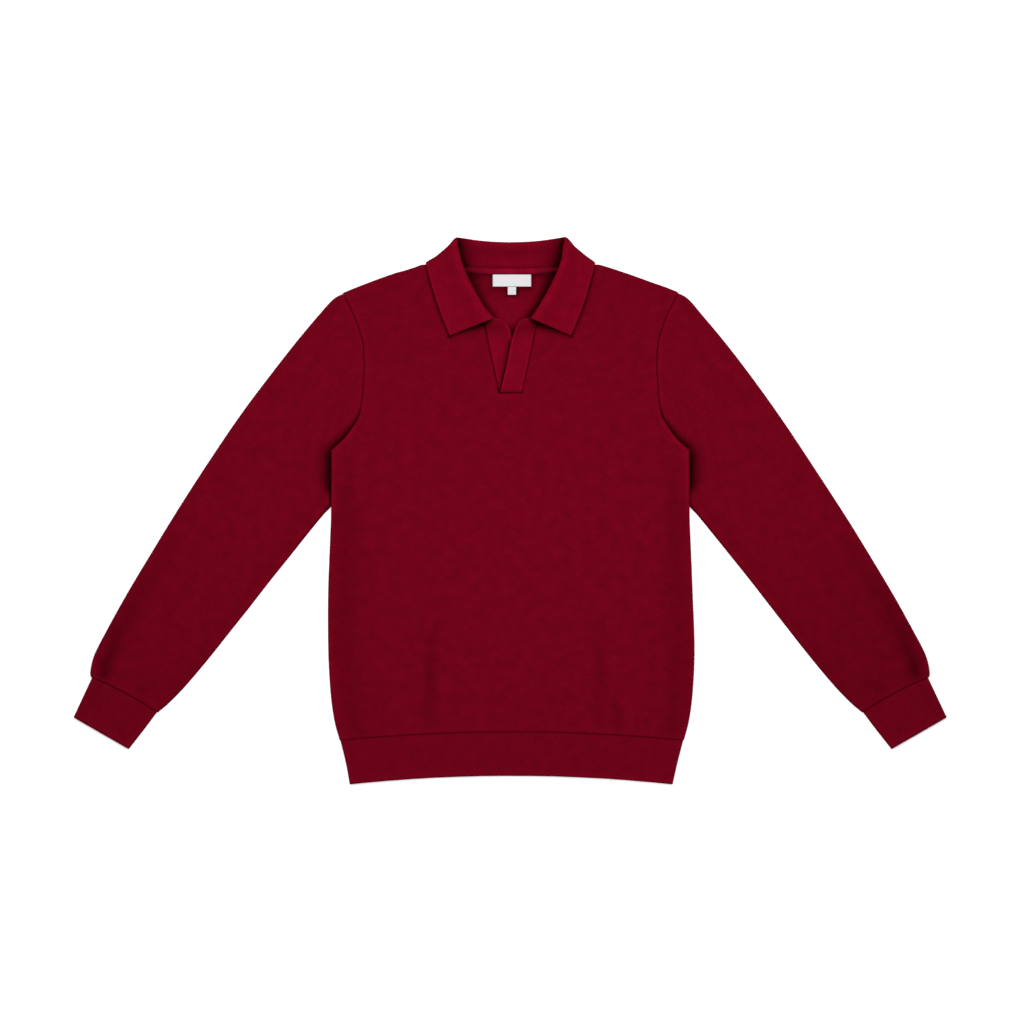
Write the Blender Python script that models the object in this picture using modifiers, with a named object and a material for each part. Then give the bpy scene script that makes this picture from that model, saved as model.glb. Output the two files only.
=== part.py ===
"""A knitted long-sleeved polo sweater with an open collar, laid flat on its back with its arms out.

+Y runs from the hem to the collar, +X to the wearer's left and +Z up out of the front of the garment.
The origin lies on the surface that the garment rests on, under the middle of its outline.
Tables and sizes are in millimetres, and MM turns them into Blender's metres.
Outlines are given for the wearer's left half (x above 0) and mirrored for the other one.
"""

import math

import bpy
import numpy as np

MM = 0.001

# ---------------------------------------------------------------- the cloth
WALL = 2.2  # one layer of the knit
TRIM_WALL = 1.2  # neck tape
LABEL_WALL = 1.0  # woven label and size tab
SEAM_GAP = 0.3  # between pieces that are sewn edge to edge, and between layers that touch
BODY_THICK = 8.0  # the flat body and sleeves: two layers and the air between them
RIB_THICK = 7.0  # the flat hem band and cuffs

BACK_MID = WALL / 2  # height of the middle of the back layer
FRONT_MID = BODY_THICK - WALL / 2  # height of the middle of the front layer
FOLD_REACH = 5.5  # how far from an edge the front starts to curve down to the back
FOLD_DROP = 2.45  # how far each layer curves towards the other at an edge
FOLD_ANGLES = (62, 35, 12, 0)  # steps round that curve, in degrees from its steep end
SEAM_DIP = 0.45  # how far cloth sinks towards a seam
SWELL = 0.4  # how much the middle of a panel stands above its edges

# Where a sleeve is tucked between the back and the front at the underarm
UNDERARM = (237.2, 79.0)
TUCK_SLOPE = (0.805, 0.593)  # points out of the body across the lower armhole
TUCK_TOP = 158.0  # above this height the sleeve only meets the body edge to edge
TUCK_FULL = 136.5
TUCK_BOTTOM = 4.0
TUCK_FADE = 28.0
FRONT_LIFT = 2.0  # how far the front rises over the tucked sleeve
SLEEVE_DROP = 0.7  # how far the sleeve's front layer sinks there
SLEEVE_RISE = 2.6  # how far its back layer rises over the back panel

# Where the back of the collar lies under the back panel
COLLAR_LIFT = WALL + 0.8
LIFT_RUN = 10.0
LIFT_LEAD = 18.5
LIFT_SIDE = (116.0, 150.0)
LEAF_BACK_EDGE = [  # x, y of the collar's hidden edge
    (0.0, 302.6),
    (28.5, 303.6),
    (58.0, 307.5),
    (88.0, 315.0),
    (107.0, 325.5),
]

# Rows run from the side or armhole (outer) to the centre, placket or neck (inner).
# bow arches a row, fold is the share of the side fold and dip that of the seam dip.
FRONT_ROWS = [  # row, outer x, outer y, inner x, inner y, bow, fold, dip
    ("hem seam", 229.0, -305.0, 15.3, -293.8, 2.6, 1.0, 0.0),
    ("above hem", 235.9, -278.6, 15.3, -270.0, 2.0, 1.0, 0.0),
    ("blouse", 240.9, -241.4, 15.3, -236.0, 1.0, 1.0, 0.0),
    ("hip", 243.7, -185.5, 15.3, -184.0, 0.0, 1.0, 0.0),
    ("waist", 242.6, -111.1, 15.3, -111.0, 0.0, 1.0, 0.0),
    ("chest", 239.7, -36.6, 15.3, -37.0, 0.0, 1.0, 0.0),
    ("below tuck", 238.6, -12.0, 15.3, -12.0, 0.0, 0.5, 0.0),
    ("tuck bottom", 238.0, 8.0, 15.3, 8.0, 0.0, 0.0, 0.0),
    ("tuck middle", 237.4, 44.0, 15.3, 44.0, 0.0, 0.0, 0.0),
    ("underarm", 237.2, 79.0, 15.3, 78.0, 0.0, 0.0, 0.0),
    ("lower armhole", 222.4, 98.7, 15.3, 98.0, 0.0, 0.0, 0.0),
    ("armhole bend", 204.6, 122.0, 15.3, 121.0, 0.0, 0.0, 0.0),
    ("above tuck", 198.4, 136.5, 15.3, 136.5, 0.0, 0.0, 0.2),
    ("placket base", 196.2, 156.5, 15.3, 156.5, 0.0, 0.0, 1.0),
    ("mid armhole", 193.9, 190.0, 22.5, 190.0, 0.0, 0.0, 1.0),
    ("upper armhole", 195.6, 223.0, 29.7, 223.0, 0.0, 0.0, 1.0),
    ("neck base", 203.5, 249.6, 35.3, 250.6, 0.0, 0.0, 1.0),
    ("neck curve", 208.6, 261.0, 46.9, 262.5, 0.5, 0.0, 1.0),
    ("neck side", 213.0, 270.2, 59.7, 281.1, 1.3, 0.0, 1.0),
    ("neck rise", 216.6, 277.0, 69.5, 302.7, 2.2, 0.0, 1.0),
    ("below shoulder", 219.3, 282.0, 75.4, 329.6, 2.8, 0.0, 1.0),
    ("shoulder", 222.4, 288.0, 77.0, 337.0, 3.0, 0.0, 1.0),
]
PLACKET_ROW = 13  # the row of the front where the placket's opening starts

BACK_ROWS = [  # row, outer x, outer y, inner x, inner y, bow, fold, dip
    ("hem seam", 229.0, -305.0, 77.0, -295.1, 1.3, 1.0, 0.0),
    ("above hem", 235.9, -278.6, 77.0, -271.0, 0.8, 1.0, 0.0),
    ("blouse", 240.9, -241.4, 77.0, -237.0, 0.0, 1.0, 0.0),
    ("hip", 243.7, -185.5, 77.0, -184.0, 0.0, 1.0, 0.0),
    ("waist", 242.6, -111.1, 77.0, -111.0, 0.0, 1.0, 0.0),
    ("chest", 239.7, -36.6, 77.0, -37.0, 0.0, 1.0, 0.0),
    ("below tuck", 238.6, -12.0, 77.0, -12.0, 0.0, 0.5, 0.0),
    ("tuck bottom", 238.0, 8.0, 77.0, 8.0, 0.0, 0.0, 0.0),
    ("tuck middle", 237.4, 44.0, 77.0, 44.0, 0.0, 0.0, 0.0),
    ("underarm", 237.2, 79.0, 77.0, 78.0, 0.0, 0.0, 0.0),
    ("lower armhole", 224.4, 98.7, 77.0, 98.0, 0.0, 0.0, 0.0),
    ("armhole bend", 209.5, 122.0, 77.0, 124.0, 0.0, 0.0, 0.0),
    ("above tuck", 204.9, 136.5, 77.0, 141.0, 0.0, 0.0, 0.0),
    ("mid armhole", 201.0, 168.0, 77.0, 180.0, 0.0, 0.0, 0.0),
    ("upper armhole", 202.5, 217.0, 77.0, 235.0, 1.0, 0.0, 0.0),
    ("blade", 209.6, 253.0, 77.0, 282.0, 2.0, 0.0, 0.0),
    ("yoke", 215.0, 271.0, 77.0, 305.0, 2.6, 0.0, 0.0),
    ("over leaf", 216.5, 274.6, 77.0, 313.0, 2.7, 0.0, 0.0),
    ("above leaf", 218.0, 278.2, 77.0, 321.0, 2.8, 0.0, 0.0),
    ("below shoulder", 219.3, 281.6, 77.0, 329.6, 2.9, 0.0, 0.0),
    ("shoulder", 222.4, 288.0, 77.0, 337.0, 3.0, 0.0, 0.0),
]
BACK_NECK = [  # x, y of the back neckline, from the centre to the shoulder
    (0.0, 317.4),
    (26.0, 317.9),
    (50.0, 319.8),
    (66.0, 324.9),
    (77.0, 337.0),
]
PINCH = (2.4, 84.0, 94.0, 108.0, 120.0)  # how far the collar presses the shoulder in, and where

# x, y of the sleeve's armhole edge where it runs on under the front and over the back
TUCK_LIMIT = 132.0  # the edge follows the armhole's seam down to this height
FRONT_TUCK = [(202.5, 120.0), (208.0, 105.0), (217.0, 88.0), (225.5, 67.0), (229.0, 44.0), (230.0, 18.0)]
BACK_TUCK = [(206.5, 123.0), (209.5, 107.0), (217.0, 88.0), (225.5, 67.0), (229.0, 44.0), (230.0, 18.0)]
SLEEVE_ROWS = [  # row, upper edge x, y, lower edge x, y, share of the armhole's curve, arch
    ("armhole", 222.4, 288.0, 230.0, 18.0, 1.00, 0.0),
    ("cap", 250.5, 264.5, 232.5, 13.5, 0.72, 0.0),
    ("cap middle", 287.0, 221.0, 236.0, 8.5, 0.42, 0.0),
    ("cap base", 330.0, 165.0, 241.5, 1.5, 0.16, 0.0),
    ("biceps", 375.0, 101.7, 255.0, -13.5, 0.0, 0.0),
    ("elbow", 441.7, 0.7, 315.4, -87.5, 0.0, 0.0),
    ("forearm", 476.4, -55.2, 355.9, -139.4, 0.0, 0.0),
    ("lower arm", 509.8, -111.1, 396.0, -190.5, 0.0, 0.0),
    ("fullness", 535.0, -156.5, 429.2, -230.3, 0.0, 0.5),
    ("above cuff", 552.6, -191.0, 456.0, -258.0, 0.0, 1.5),
    ("cuff seam", 557.2, -221.0, 468.4, -268.2, 0.0, 2.0),
]
CUFF_ROWS = [  # row, upper edge x, y, lower edge x, y, arch
    ("seam", 556.0, -222.2, 469.6, -267.9, 2.0),
    ("middle", 567.5, -247.0, 485.2, -288.8, 0.6),
    ("edge", 580.3, -274.6, 507.0, -316.8, 0.0),
]
HEM_ROWS = [  # row, half width, y at the side, y at the centre
    ("seam", 228.0, -305.4, -294.1),
    ("edge", 216.0, -362.4, -352.5),
]
RIB_PITCH = 3.4  # from one rib to the next at the seam
RIB_RELIEF = 0.5  # from the bottom of a groove to the top of a rib

# Soft vertical creases of the front above the hem band
CREASES = [  # x, y at the top, y at the bottom, half width, depth
    (-110.0, -165.0, -284.0, 17.0, 1.5),
    (116.0, -160.0, -262.0, 17.0, 1.1),
    (143.0, -240.0, -292.0, 14.0, 0.9),
    (-160.0, -215.0, -280.0, 16.0, 0.7),
]

# The collar, from its front end round to the middle of the back.
# turn says which way the leaf lies from the stand: 90 above it, 0 beside it, -90 below it.
ROLL_RADIUS = 1.7
COLLAR_ROWS = [  # row, neck x, y, z, roll x, y, z, edge x, y, z, turn
    ("front end", 34.9, 252.9, 6.9, 24.8, 256.0, 8.3, 80.3, 232.2, 9.8, 90),
    ("front 1", 40.5, 257.4, 6.9, 31.0, 262.2, 8.3, 83.9, 240.6, 9.8, 90),
    ("front 2", 46.5, 263.1, 6.9, 37.9, 268.7, 8.3, 87.5, 249.2, 9.8, 90),
    ("front 3", 53.0, 272.5, 6.9, 44.6, 277.3, 8.3, 91.2, 258.0, 9.8, 90),
    ("side 1", 58.9, 282.0, 6.9, 50.1, 286.5, 8.3, 94.5, 267.0, 9.8, 90),
    ("side 2", 64.3, 293.0, 6.9, 55.2, 296.7, 8.3, 98.0, 277.2, 9.8, 90),
    ("side 3", 68.6, 303.4, 6.9, 59.4, 306.8, 8.4, 101.3, 287.6, 9.8, 90),
    ("side 4", 71.1, 314.2, 6.9, 63.4, 317.0, 8.4, 104.4, 298.2, 9.8, 90),
    ("side 5", 73.3, 324.6, 6.8, 66.7, 329.0, 8.4, 107.4, 308.8, 9.8, 90),
    ("upper side", 75.0, 331.5, 6.7, 69.4, 343.0, 8.3, 110.0, 318.6, 9.8, 86),
    ("fold front", 75.3, 335.0, 6.4, 71.0, 353.4, 7.9, 111.6, 325.4, 9.2, 60),
    ("fold rise", 75.1, 336.5, 5.9, 71.9, 359.4, 6.8, 112.1, 328.3, 7.6, 30),
    ("fold", 74.6, 337.0, 5.3, 72.0, 361.4, 5.3, 112.2, 329.2, 5.4, 0),
    ("fold fall", 73.4, 336.4, 4.7, 70.4, 361.6, 3.9, 111.4, 328.7, 2.9, -30),
    ("fold back", 71.2, 334.0, 4.2, 66.4, 361.0, 3.1, 109.2, 327.0, 1.3, -60),
    ("back side", 66.4, 326.4, 3.9, 58.5, 359.7, 2.8, 103.0, 322.8, 1.1, -90),
    ("back 1", 55.0, 321.5, 3.7, 46.0, 357.5, 2.8, 83.0, 313.2, 1.1, -90),
    ("back 2", 38.0, 318.9, 3.7, 31.5, 355.8, 2.8, 56.0, 307.0, 1.1, -90),
    ("back 3", 19.0, 317.9, 3.7, 16.0, 354.8, 2.8, 28.0, 303.5, 1.1, -90),
    ("centre back", 0.0, 317.7, 3.7, 0.0, 354.4, 2.8, 0.0, 302.6, 1.1, -90),
]
STAND_STEPS = 4
ROLL_STEPS = 4
LEAF_STEPS = 5

# The placket's strips: the wearer's left one lies on top.
PLACKET_TOP = [  # seam edge x, y, z, free edge x, y, z, bow
    (14.9, 156.9, 7.1, -13.0, 156.9, 8.5, 0.0),
    (22.1, 190.0, 7.1, -4.9, 190.0, 8.4, 0.0),
    (29.3, 223.0, 7.0, 1.6, 223.0, 8.1, 0.0),
    (32.6, 239.0, 6.9, 6.6, 240.0, 7.7, 0.6),
    (34.4, 248.0, 6.9, 10.8, 249.0, 7.4, 1.6),
    (34.3, 251.9, 6.9, 15.6, 253.4, 7.3, 2.4),
]
PLACKET_UNDER = [
    (14.9, 156.9, 5.5, -14.6, 156.9, 4.3, 0.0),
    (22.1, 190.0, 5.6, -6.7, 190.0, 4.5, 0.0),
    (29.3, 223.0, 6.0, -1.2, 223.0, 4.9, 0.0),
    (32.6, 239.0, 6.3, 1.6, 240.0, 5.5, 0.6),
    (34.4, 248.0, 6.5, 6.2, 249.0, 6.0, 1.6),
    (34.3, 251.9, 6.6, 11.6, 253.4, 6.2, 2.4),
]
PLACKET_STEPS = 6

TAPE_HALF_LENGTH = 58.0
TAPE_BELOW, TAPE_ABOVE = 3.4, 4.8  # how far the neck tape reaches either side of the neck seam
TAPE_HEIGHT = 6.1
LABEL_HALF_WIDTH, LABEL_BOTTOM, LABEL_TOP = 25.5, 297.2, 313.2
TAB_HALF_WIDTH, TAB_BOTTOM, TAB_TOP = 5.5, 286.6, 296.8

WINE = (0.155, 0.0016, 0.0098, 1.0)
WINE_RIB = (0.145, 0.0016, 0.0095, 1.0)
WHITE = (0.86, 0.86, 0.87, 1.0)
MATERIALS = {  # name: colour, roughness
    "knit": (WINE, 0.9),
    "rib": (WINE_RIB, 0.9),
    "trim": (WINE, 0.85),
    "label": (WHITE, 0.7),
}


# ---------------------------------------------------------------- curves and shares
def ease(value):
    """0 below 0, 1 above 1, and a smooth step between."""
    value = np.clip(value, 0.0, 1.0)
    return value * value * (3.0 - 2.0 * value)


def spline(points, at):
    """The smooth curve through the points, read at fractional point numbers."""
    points = np.asarray(points, float)
    at = np.asarray(at, float)
    first = 2 * points[0] - points[1]
    last = 2 * points[-1] - points[-2]
    padded = np.vstack([first, points, last])
    start = np.clip(at.astype(int), 0, len(points) - 2)
    t = (at - start)[:, None]
    a, b, c, d = (padded[start + k] for k in range(4))
    bend = 2 * a - 5 * b + 4 * c - d
    twist = 3 * b - a - 3 * c + d
    return 0.5 * (2 * b + (c - a) * t + bend * t**2 + twist * t**3)


def by_length(points, share):
    """The smooth curve through the points, read at shares of its whole length."""
    fine_at = np.linspace(0, len(points) - 1, 40 * len(points))
    fine = spline(points, fine_at)
    steps = np.linalg.norm(np.diff(fine, axis=0), axis=1)
    along = np.concatenate([[0.0], np.cumsum(steps)])
    return spline(points, np.interp(np.asarray(share) * along[-1], along, fine_at))


def numbers(table):
    """A table's rows without their names."""
    return np.array([row[1:] for row in table], float)


def row_positions(rows, steps):
    """Fractional row numbers: steps between rows, and the fold's steps in the last one."""
    even = np.arange(0, (len(rows) - 2) * steps + 1) / steps
    last = np.linalg.norm(rows[-1][:2] - rows[-2][:2])
    curve = [1.0 - FOLD_REACH * (1 - math.cos(math.radians(a))) / last for a in (90, *FOLD_ANGLES)]
    return np.concatenate([even, len(rows) - 2 + np.array(curve)])


def mirrored(points):
    return points * np.array([-1.0, 1.0, 1.0])


# ---------------------------------------------------------------- heights of the layers
def tuck_zone(x, y, inside, outside):
    """1 where the sleeve lies between the back and the front, fading to both sides of the body's edge."""
    across = (np.abs(x) - UNDERARM[0]) * TUCK_SLOPE[0] + (y - UNDERARM[1]) * TUCK_SLOPE[1]
    out = np.maximum(np.abs(x) - UNDERARM[0], across)
    along = ease((TUCK_TOP - y) / (TUCK_TOP - TUCK_FULL)) * ease((y - TUCK_BOTTOM) / TUCK_FADE + 1)
    return along * ease((outside - out) / (outside * 0.8)) * ease((out + inside) / (inside * 0.6))


def collar_lift(x, y):
    """How far the back panel is raised by the collar's leaf that lies under it."""
    edge = np.array(LEAF_BACK_EDGE)
    leaf_y = np.interp(np.abs(x), edge[:, 0], edge[:, 1])
    side = ease((LIFT_SIDE[1] - np.abs(x)) / (LIFT_SIDE[1] - LIFT_SIDE[0]))
    return COLLAR_LIFT * side * np.clip((y - leaf_y + LIFT_LEAD) / LIFT_RUN, 0, 1)


def crease_depth(x, y):
    total = np.zeros_like(x)
    for centre, top, bottom, half_width, depth in CREASES:
        across = np.clip(1 - ((x - centre) / half_width) ** 2, 0, 1) ** 2
        along = ease((top - y) / 45.0) * ease((y - bottom) / 22.0 + 0.4)
        total = total + depth * across * along
    return total


def front_height(x, y):
    lift = FRONT_LIFT * tuck_zone(x, y, 70.0, 60.0)
    return FRONT_MID + lift - crease_depth(x, y)


def back_height(x, y):
    return BACK_MID + collar_lift(x, y)


# ---------------------------------------------------------------- meshes
def new_object(name, vertices, faces, material):
    mesh = bpy.data.meshes.new(name)
    mesh.from_pydata([tuple(v) for v in np.asarray(vertices) * MM], [], faces)
    mesh.materials.append(material)
    mesh.shade_smooth()
    made = bpy.data.objects.new(name, mesh)
    GARMENT.objects.link(made)
    return made


def sheet(name, grid, wall, material, skip=()):
    """A sheet of cloth through a grid of points on its middle, thickened to both sides."""
    rows, columns = grid.shape[:2]
    faces = []
    for r in range(rows - 1):
        for c in range(columns - 1):
            if (r, c) in skip:
                continue
            first = r * columns + c
            faces.append((first, first + 1, first + columns + 1, first + columns))
    used = sorted({i for face in faces for i in face})
    place = {old: new for new, old in enumerate(used)}
    faces = [tuple(place[i] for i in face) for face in faces]
    made = new_object(name, grid.reshape(-1, 3)[used], faces, material)
    thicken = made.modifiers.new("Cloth", "SOLIDIFY")
    thicken.thickness = wall * MM
    thicken.offset = 0.0
    return made


def tube(name, outer, inner, material):
    """A wall of cloth between two grids of closed rings, one row for each ring."""
    rows, columns = outer.shape[:2]
    inside = rows * columns
    faces = []
    for r in range(rows - 1):
        for c in range(columns):
            nxt = (c + 1) % columns
            a, b = r * columns + c, r * columns + nxt
            faces.append((a, b, b + columns, a + columns))
            faces.append((inside + a, inside + a + columns, inside + b + columns, inside + b))
    top = (rows - 1) * columns
    for c in range(columns):
        nxt = (c + 1) % columns
        faces.append((c, inside + c, inside + nxt, nxt))
        faces.append((top + c, top + nxt, inside + top + nxt, inside + top + c))
    return new_object(name, np.vstack([outer.reshape(-1, 3), inner.reshape(-1, 3)]), faces, material)


# ---------------------------------------------------------------- body panels
def half_panel(table, row_steps, columns):
    """Plan of the left half of a panel: a grid of x, y and z, whose z holds the share of the side
    fold, with the dip towards a seam and the share of the shoulder's fold beside it."""
    rows = numbers(table)
    at = row_positions(rows, row_steps)
    read = spline(rows, at)
    angles = np.radians((90, *FOLD_ANGLES))
    plan, drop = [], []
    for k, (outer_x, outer_y, inner_x, inner_y, bow, fold, dip) in enumerate(read):
        outer, inner = np.array([outer_x, outer_y]), np.array([inner_x, inner_y])
        width = np.linalg.norm(outer - inner)
        edge = width - fold * WALL / 2
        even = np.linspace(0, edge - FOLD_REACH, columns + 1)[:-1]
        across = np.concatenate([even, edge - FOLD_REACH * (1 - np.cos(angles))])
        share = across / width
        line = inner + np.outer(share, outer - inner)
        line[:, 1] += 4 * bow * share * (1 - share)
        near = np.clip((across - edge + FOLD_REACH) / FOLD_REACH, 0, 1)
        round_off = np.concatenate([np.zeros(columns), 1 - np.sin(angles)])
        shoulder = 0.0
        if k >= len(read) - len(angles):
            shoulder = 1 - math.sin(angles[k - len(read) + len(angles)])
        plan.append(line)
        drop.append(np.column_stack([fold * round_off, dip * near**2, np.full(len(across), shoulder)]))
    return np.array(plan), np.array(drop)


def full_rows(half, centre):
    """Both halves of a panel side by side, from the wearer's right to left."""
    return np.concatenate([mirrored(half)[:, ::-1], centre, half], axis=1)


def pressed(plan):
    """The plan of a panel with its shoulder pressed in where the collar folds round it."""
    depth, start, full, end_full, end = PINCH
    x, y = plan[..., 0], plan[..., 1]
    shoulder_y = np.interp(x, [77.0, 222.4], [337.0, 288.0])
    along = ease((x - start) / (full - start)) * ease((end - x) / (end - end_full))
    plan = plan.copy()
    plan[..., 1] -= depth * along * ease((y - shoulder_y + 25.0) / 25.0)
    return plan


def front_panel():
    plan, drop = half_panel(FRONT_ROWS, 1, 10)
    plan = pressed(plan)
    x, y = plan[..., 0], plan[..., 1]
    fold, dip, shoulder = drop[..., 0], drop[..., 1], drop[..., 2]
    held = 1 - 0.65 * collar_lift(x, y) / COLLAR_LIFT
    sides = []
    for side in (1, -1):
        z = front_height(side * x, y) - SEAM_DIP * dip * (1 - shoulder)
        z = z - FOLD_DROP * (1 - (1 - fold) * (1 - shoulder * held))
        sides.append(np.dstack([x, y, z]))
    centre_plan = plan[:, :1].copy()
    centre_plan[..., 0] = 0
    centre = np.dstack([centre_plan, front_height(centre_plan[..., 0], centre_plan[..., 1])])
    left, right = sides
    grid = np.concatenate([mirrored(right)[:, ::-1], centre, left], axis=1)
    middle = plan.shape[1]
    skip = {(r, c) for r in range(PLACKET_ROW, len(plan) - 1) for c in (middle - 1, middle)}
    return sheet("front_panel", grid, WALL, MATERIAL["knit"], skip)


def back_panel():
    plan, drop = half_panel(BACK_ROWS, 1, 6)
    neck = np.array(BACK_NECK)
    centre_columns = spline(neck, np.arange(len(neck)))[1:-1]
    inner_y = plan[:, 0, 1]
    # The columns inside the shoulder point end on the neckline and run straight below it.
    rise = ease((inner_y - 120.0) / (inner_y[-1] - 120.0))
    extra = []
    for neck_x, neck_y in np.vstack([[0.0, neck[0, 1]], centre_columns]):
        hem_bow = 1.4 * ease(1 - (inner_y - inner_y[0]) / 60.0) * (1 - (neck_x / neck[-1, 0]) ** 2)
        line_y = inner_y + hem_bow + rise * (neck_y - inner_y[-1])
        extra.append(np.column_stack([np.full(len(inner_y), neck_x), line_y]))
    inside = np.array(extra).transpose(1, 0, 2)
    half = np.concatenate([inside, pressed(plan)], axis=1)
    pad = np.zeros((len(plan), inside.shape[1], 3))
    drop = np.concatenate([pad, drop], axis=1)
    x, y = half[..., 0], half[..., 1]
    flat = 1 - collar_lift(x, y) / COLLAR_LIFT
    edge = 1 - (1 - drop[..., 0]) * (1 - drop[..., 2])
    z = back_height(x, y) + FOLD_DROP * flat * edge
    grid = np.dstack([half, z])
    grid = np.concatenate([mirrored(grid)[:, :0:-1], grid], axis=1)
    return sheet("back_panel", grid, WALL, MATERIAL["knit"])


# ---------------------------------------------------------------- sleeves and ribbed bands
def armhole_edge(table, tuck, share):
    """The sleeve's edge: a seam gap off the panel's edge, then on along its tucked part.

    It's read at shares of its length, on the straight lines between the panel's own rows."""
    rows = numbers(table)[::-1]
    seam = np.array([row[:2] for row in rows if row[1] > TUCK_LIMIT])
    path = np.vstack([seam, tuck])
    ahead = np.vstack([path[1:], 2 * path[-1] - path[-2]]) - np.vstack([2 * path[0] - path[1], path[:-1]])
    ahead /= np.linalg.norm(ahead, axis=1)[:, None]
    path = path + SEAM_GAP * 1.7 * np.column_stack([-ahead[:, 1], ahead[:, 0]])
    steps = np.linalg.norm(np.diff(path, axis=0), axis=1)
    along = np.concatenate([[0.0], np.cumsum(steps)]) / steps.sum()
    return np.column_stack([np.interp(share, along, path[:, k]) for k in (0, 1)])


def ring_columns(width, count, reach):
    """Distances across a flat tube for its fold, middle and far fold, and the angle at each."""
    angles = np.radians((0, 30, 60, 90))
    near = reach * (1 - np.cos(angles))
    middle = np.linspace(reach, width - reach, count + 2)[1:-1]
    across = np.concatenate([near, middle, width - near[::-1]])
    lift = np.concatenate([np.sin(angles), np.ones(count), np.sin(angles[::-1])])
    return across, lift


def flat_ring(line_at, width, count, reach, heights, wall):
    """One ring of a flattened tube: its front from the upper to the lower edge, and its back again.

    line_at gives the plan at shares of the width, heights the middle of both layers there."""
    outer, inner = [], []
    for points, push in ((outer, wall / 2), (inner, -wall / 2)):
        across, lift = ring_columns(width, count, reach)
        inset = np.where(across < width / 2, 1, -1) * (wall / 2 - push)
        folded = across + inset * (1 - np.clip(np.minimum(across, width - across) / reach, 0, 1))
        plan = line_at(folded / width)
        front, back = heights(plan)
        middle, half = (front + back) / 2, (front - back) / 2 + push
        points.append(np.column_stack([plan, middle + half * lift]))
        plan_back, lift_back = plan[1:-1][::-1], lift[1:-1][::-1]
        middle_back, half_back = middle[1:-1][::-1], half[1:-1][::-1]
        points.append(np.column_stack([plan_back, middle_back - half_back * lift_back]))
    return np.vstack(outer), np.vstack(inner)


def sleeve(name, side, row_steps=2, columns=8):
    front_edge = armhole_edge(FRONT_ROWS, FRONT_TUCK, np.linspace(0, 1, 121))
    back_edge = armhole_edge(BACK_ROWS, BACK_TUCK, np.linspace(0, 1, 121))
    rows = numbers(SLEEVE_ROWS)
    at = np.arange(0, (len(rows) - 1) * row_steps + 1) / row_steps
    read = spline(rows, at)
    read[0, :4] = [*front_edge[0], *front_edge[-1]]
    outer, inner = [], []
    for upper_x, upper_y, lower_x, lower_y, armhole, arch in read:
        upper, lower = np.array([upper_x, upper_y]), np.array([lower_x, lower_y])
        width = np.linalg.norm(lower - upper) + 6.0 * armhole
        layers = []
        for edge in (front_edge, back_edge):
            chord = edge[0] + np.outer(np.linspace(0, 1, 121), edge[-1] - edge[0])
            bend = (edge - chord) * max(armhole, 0.0)
            axis = np.array([upper[1] - lower[1], lower[0] - upper[0]])
            axis /= np.linalg.norm(axis)

            def line_at(share, bend=bend, upper=upper, lower=lower, axis=axis, arch=arch):
                share = np.clip(share, 0, 1)
                even = np.linspace(0, 1, 121)
                line = upper + np.outer(share, lower - upper)
                line[:, 0] += np.interp(share, even, bend[:, 0])
                line[:, 1] += np.interp(share, even, bend[:, 1])
                return line - np.outer(4 * arch * share * (1 - share), axis)

            layers.append(line_at)
        rings = [flat_ring(f, width, columns, FOLD_REACH + WALL / 2, sleeve_heights, WALL) for f in layers]
        front_count = columns + 8
        for made, k in ((outer, 0), (inner, 1)):
            made.append(np.vstack([rings[0][k][:front_count], rings[1][k][front_count:]]))
    outer, inner = np.array(outer), np.array(inner)
    if side > 0:
        return tube(name, outer, inner, MATERIAL["knit"])
    return tube(name, mirrored(outer)[:, ::-1], mirrored(inner)[:, ::-1], MATERIAL["knit"])


def sleeve_heights(plan):
    tuck = tuck_zone(plan[:, 0], plan[:, 1], 60.0, 26.0)
    tuck = np.where(plan[:, 0] < 250.0, tuck, tuck)
    return FRONT_MID - SLEEVE_DROP * tuck, BACK_MID + SLEEVE_RISE * tuck


def band_heights(plan):
    return np.full(len(plan), RIB_THICK - WALL / 2), np.full(len(plan), BACK_MID)


def ribbed_ring(line_at, width, ribs, wall):
    """One ring of a ribbed band: ribs across its front and a plain back that rests flat."""
    reach = FOLD_REACH
    angles = np.radians((0, 25, 55, 90))
    near = reach * (1 - np.cos(angles))
    ridge = np.linspace(reach, width - reach, 2 * ribs + 1)[1:-1]
    front = np.concatenate([near, ridge, width - near[::-1]])
    lift = np.concatenate([np.sin(angles), np.ones(len(ridge)), np.sin(angles[::-1])])
    relief = np.concatenate([np.zeros(4), np.where(np.arange(len(ridge)) % 2, -1, 0), np.zeros(4)])
    back = np.concatenate([near[1:], np.linspace(reach, width - reach, 8)[1:-1], width - near[1:][::-1]])
    back_lift = np.concatenate([np.sin(angles[1:]), np.ones(6), np.sin(angles[1:][::-1])])
    made = []
    for push in (wall / 2, -wall / 2):
        ring = []
        for across, up, sign, ribbed in ((front, lift, 1, relief), (back[::-1], back_lift[::-1], -1, None)):
            inset = np.where(across < width / 2, 1, -1) * (wall / 2 - push)
            folded = across + inset * (1 - np.clip(np.minimum(across, width - across) / reach, 0, 1))
            plan = line_at(folded / width)
            top, bottom = band_heights(plan)
            height = (top + bottom) / 2 + sign * ((top - bottom) / 2 + push) * up
            if ribbed is not None and push > 0:
                height = height + RIB_RELIEF * ribbed
            ring.append(np.column_stack([plan, height]))
        made.append(np.vstack(ring))
    return made


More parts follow.
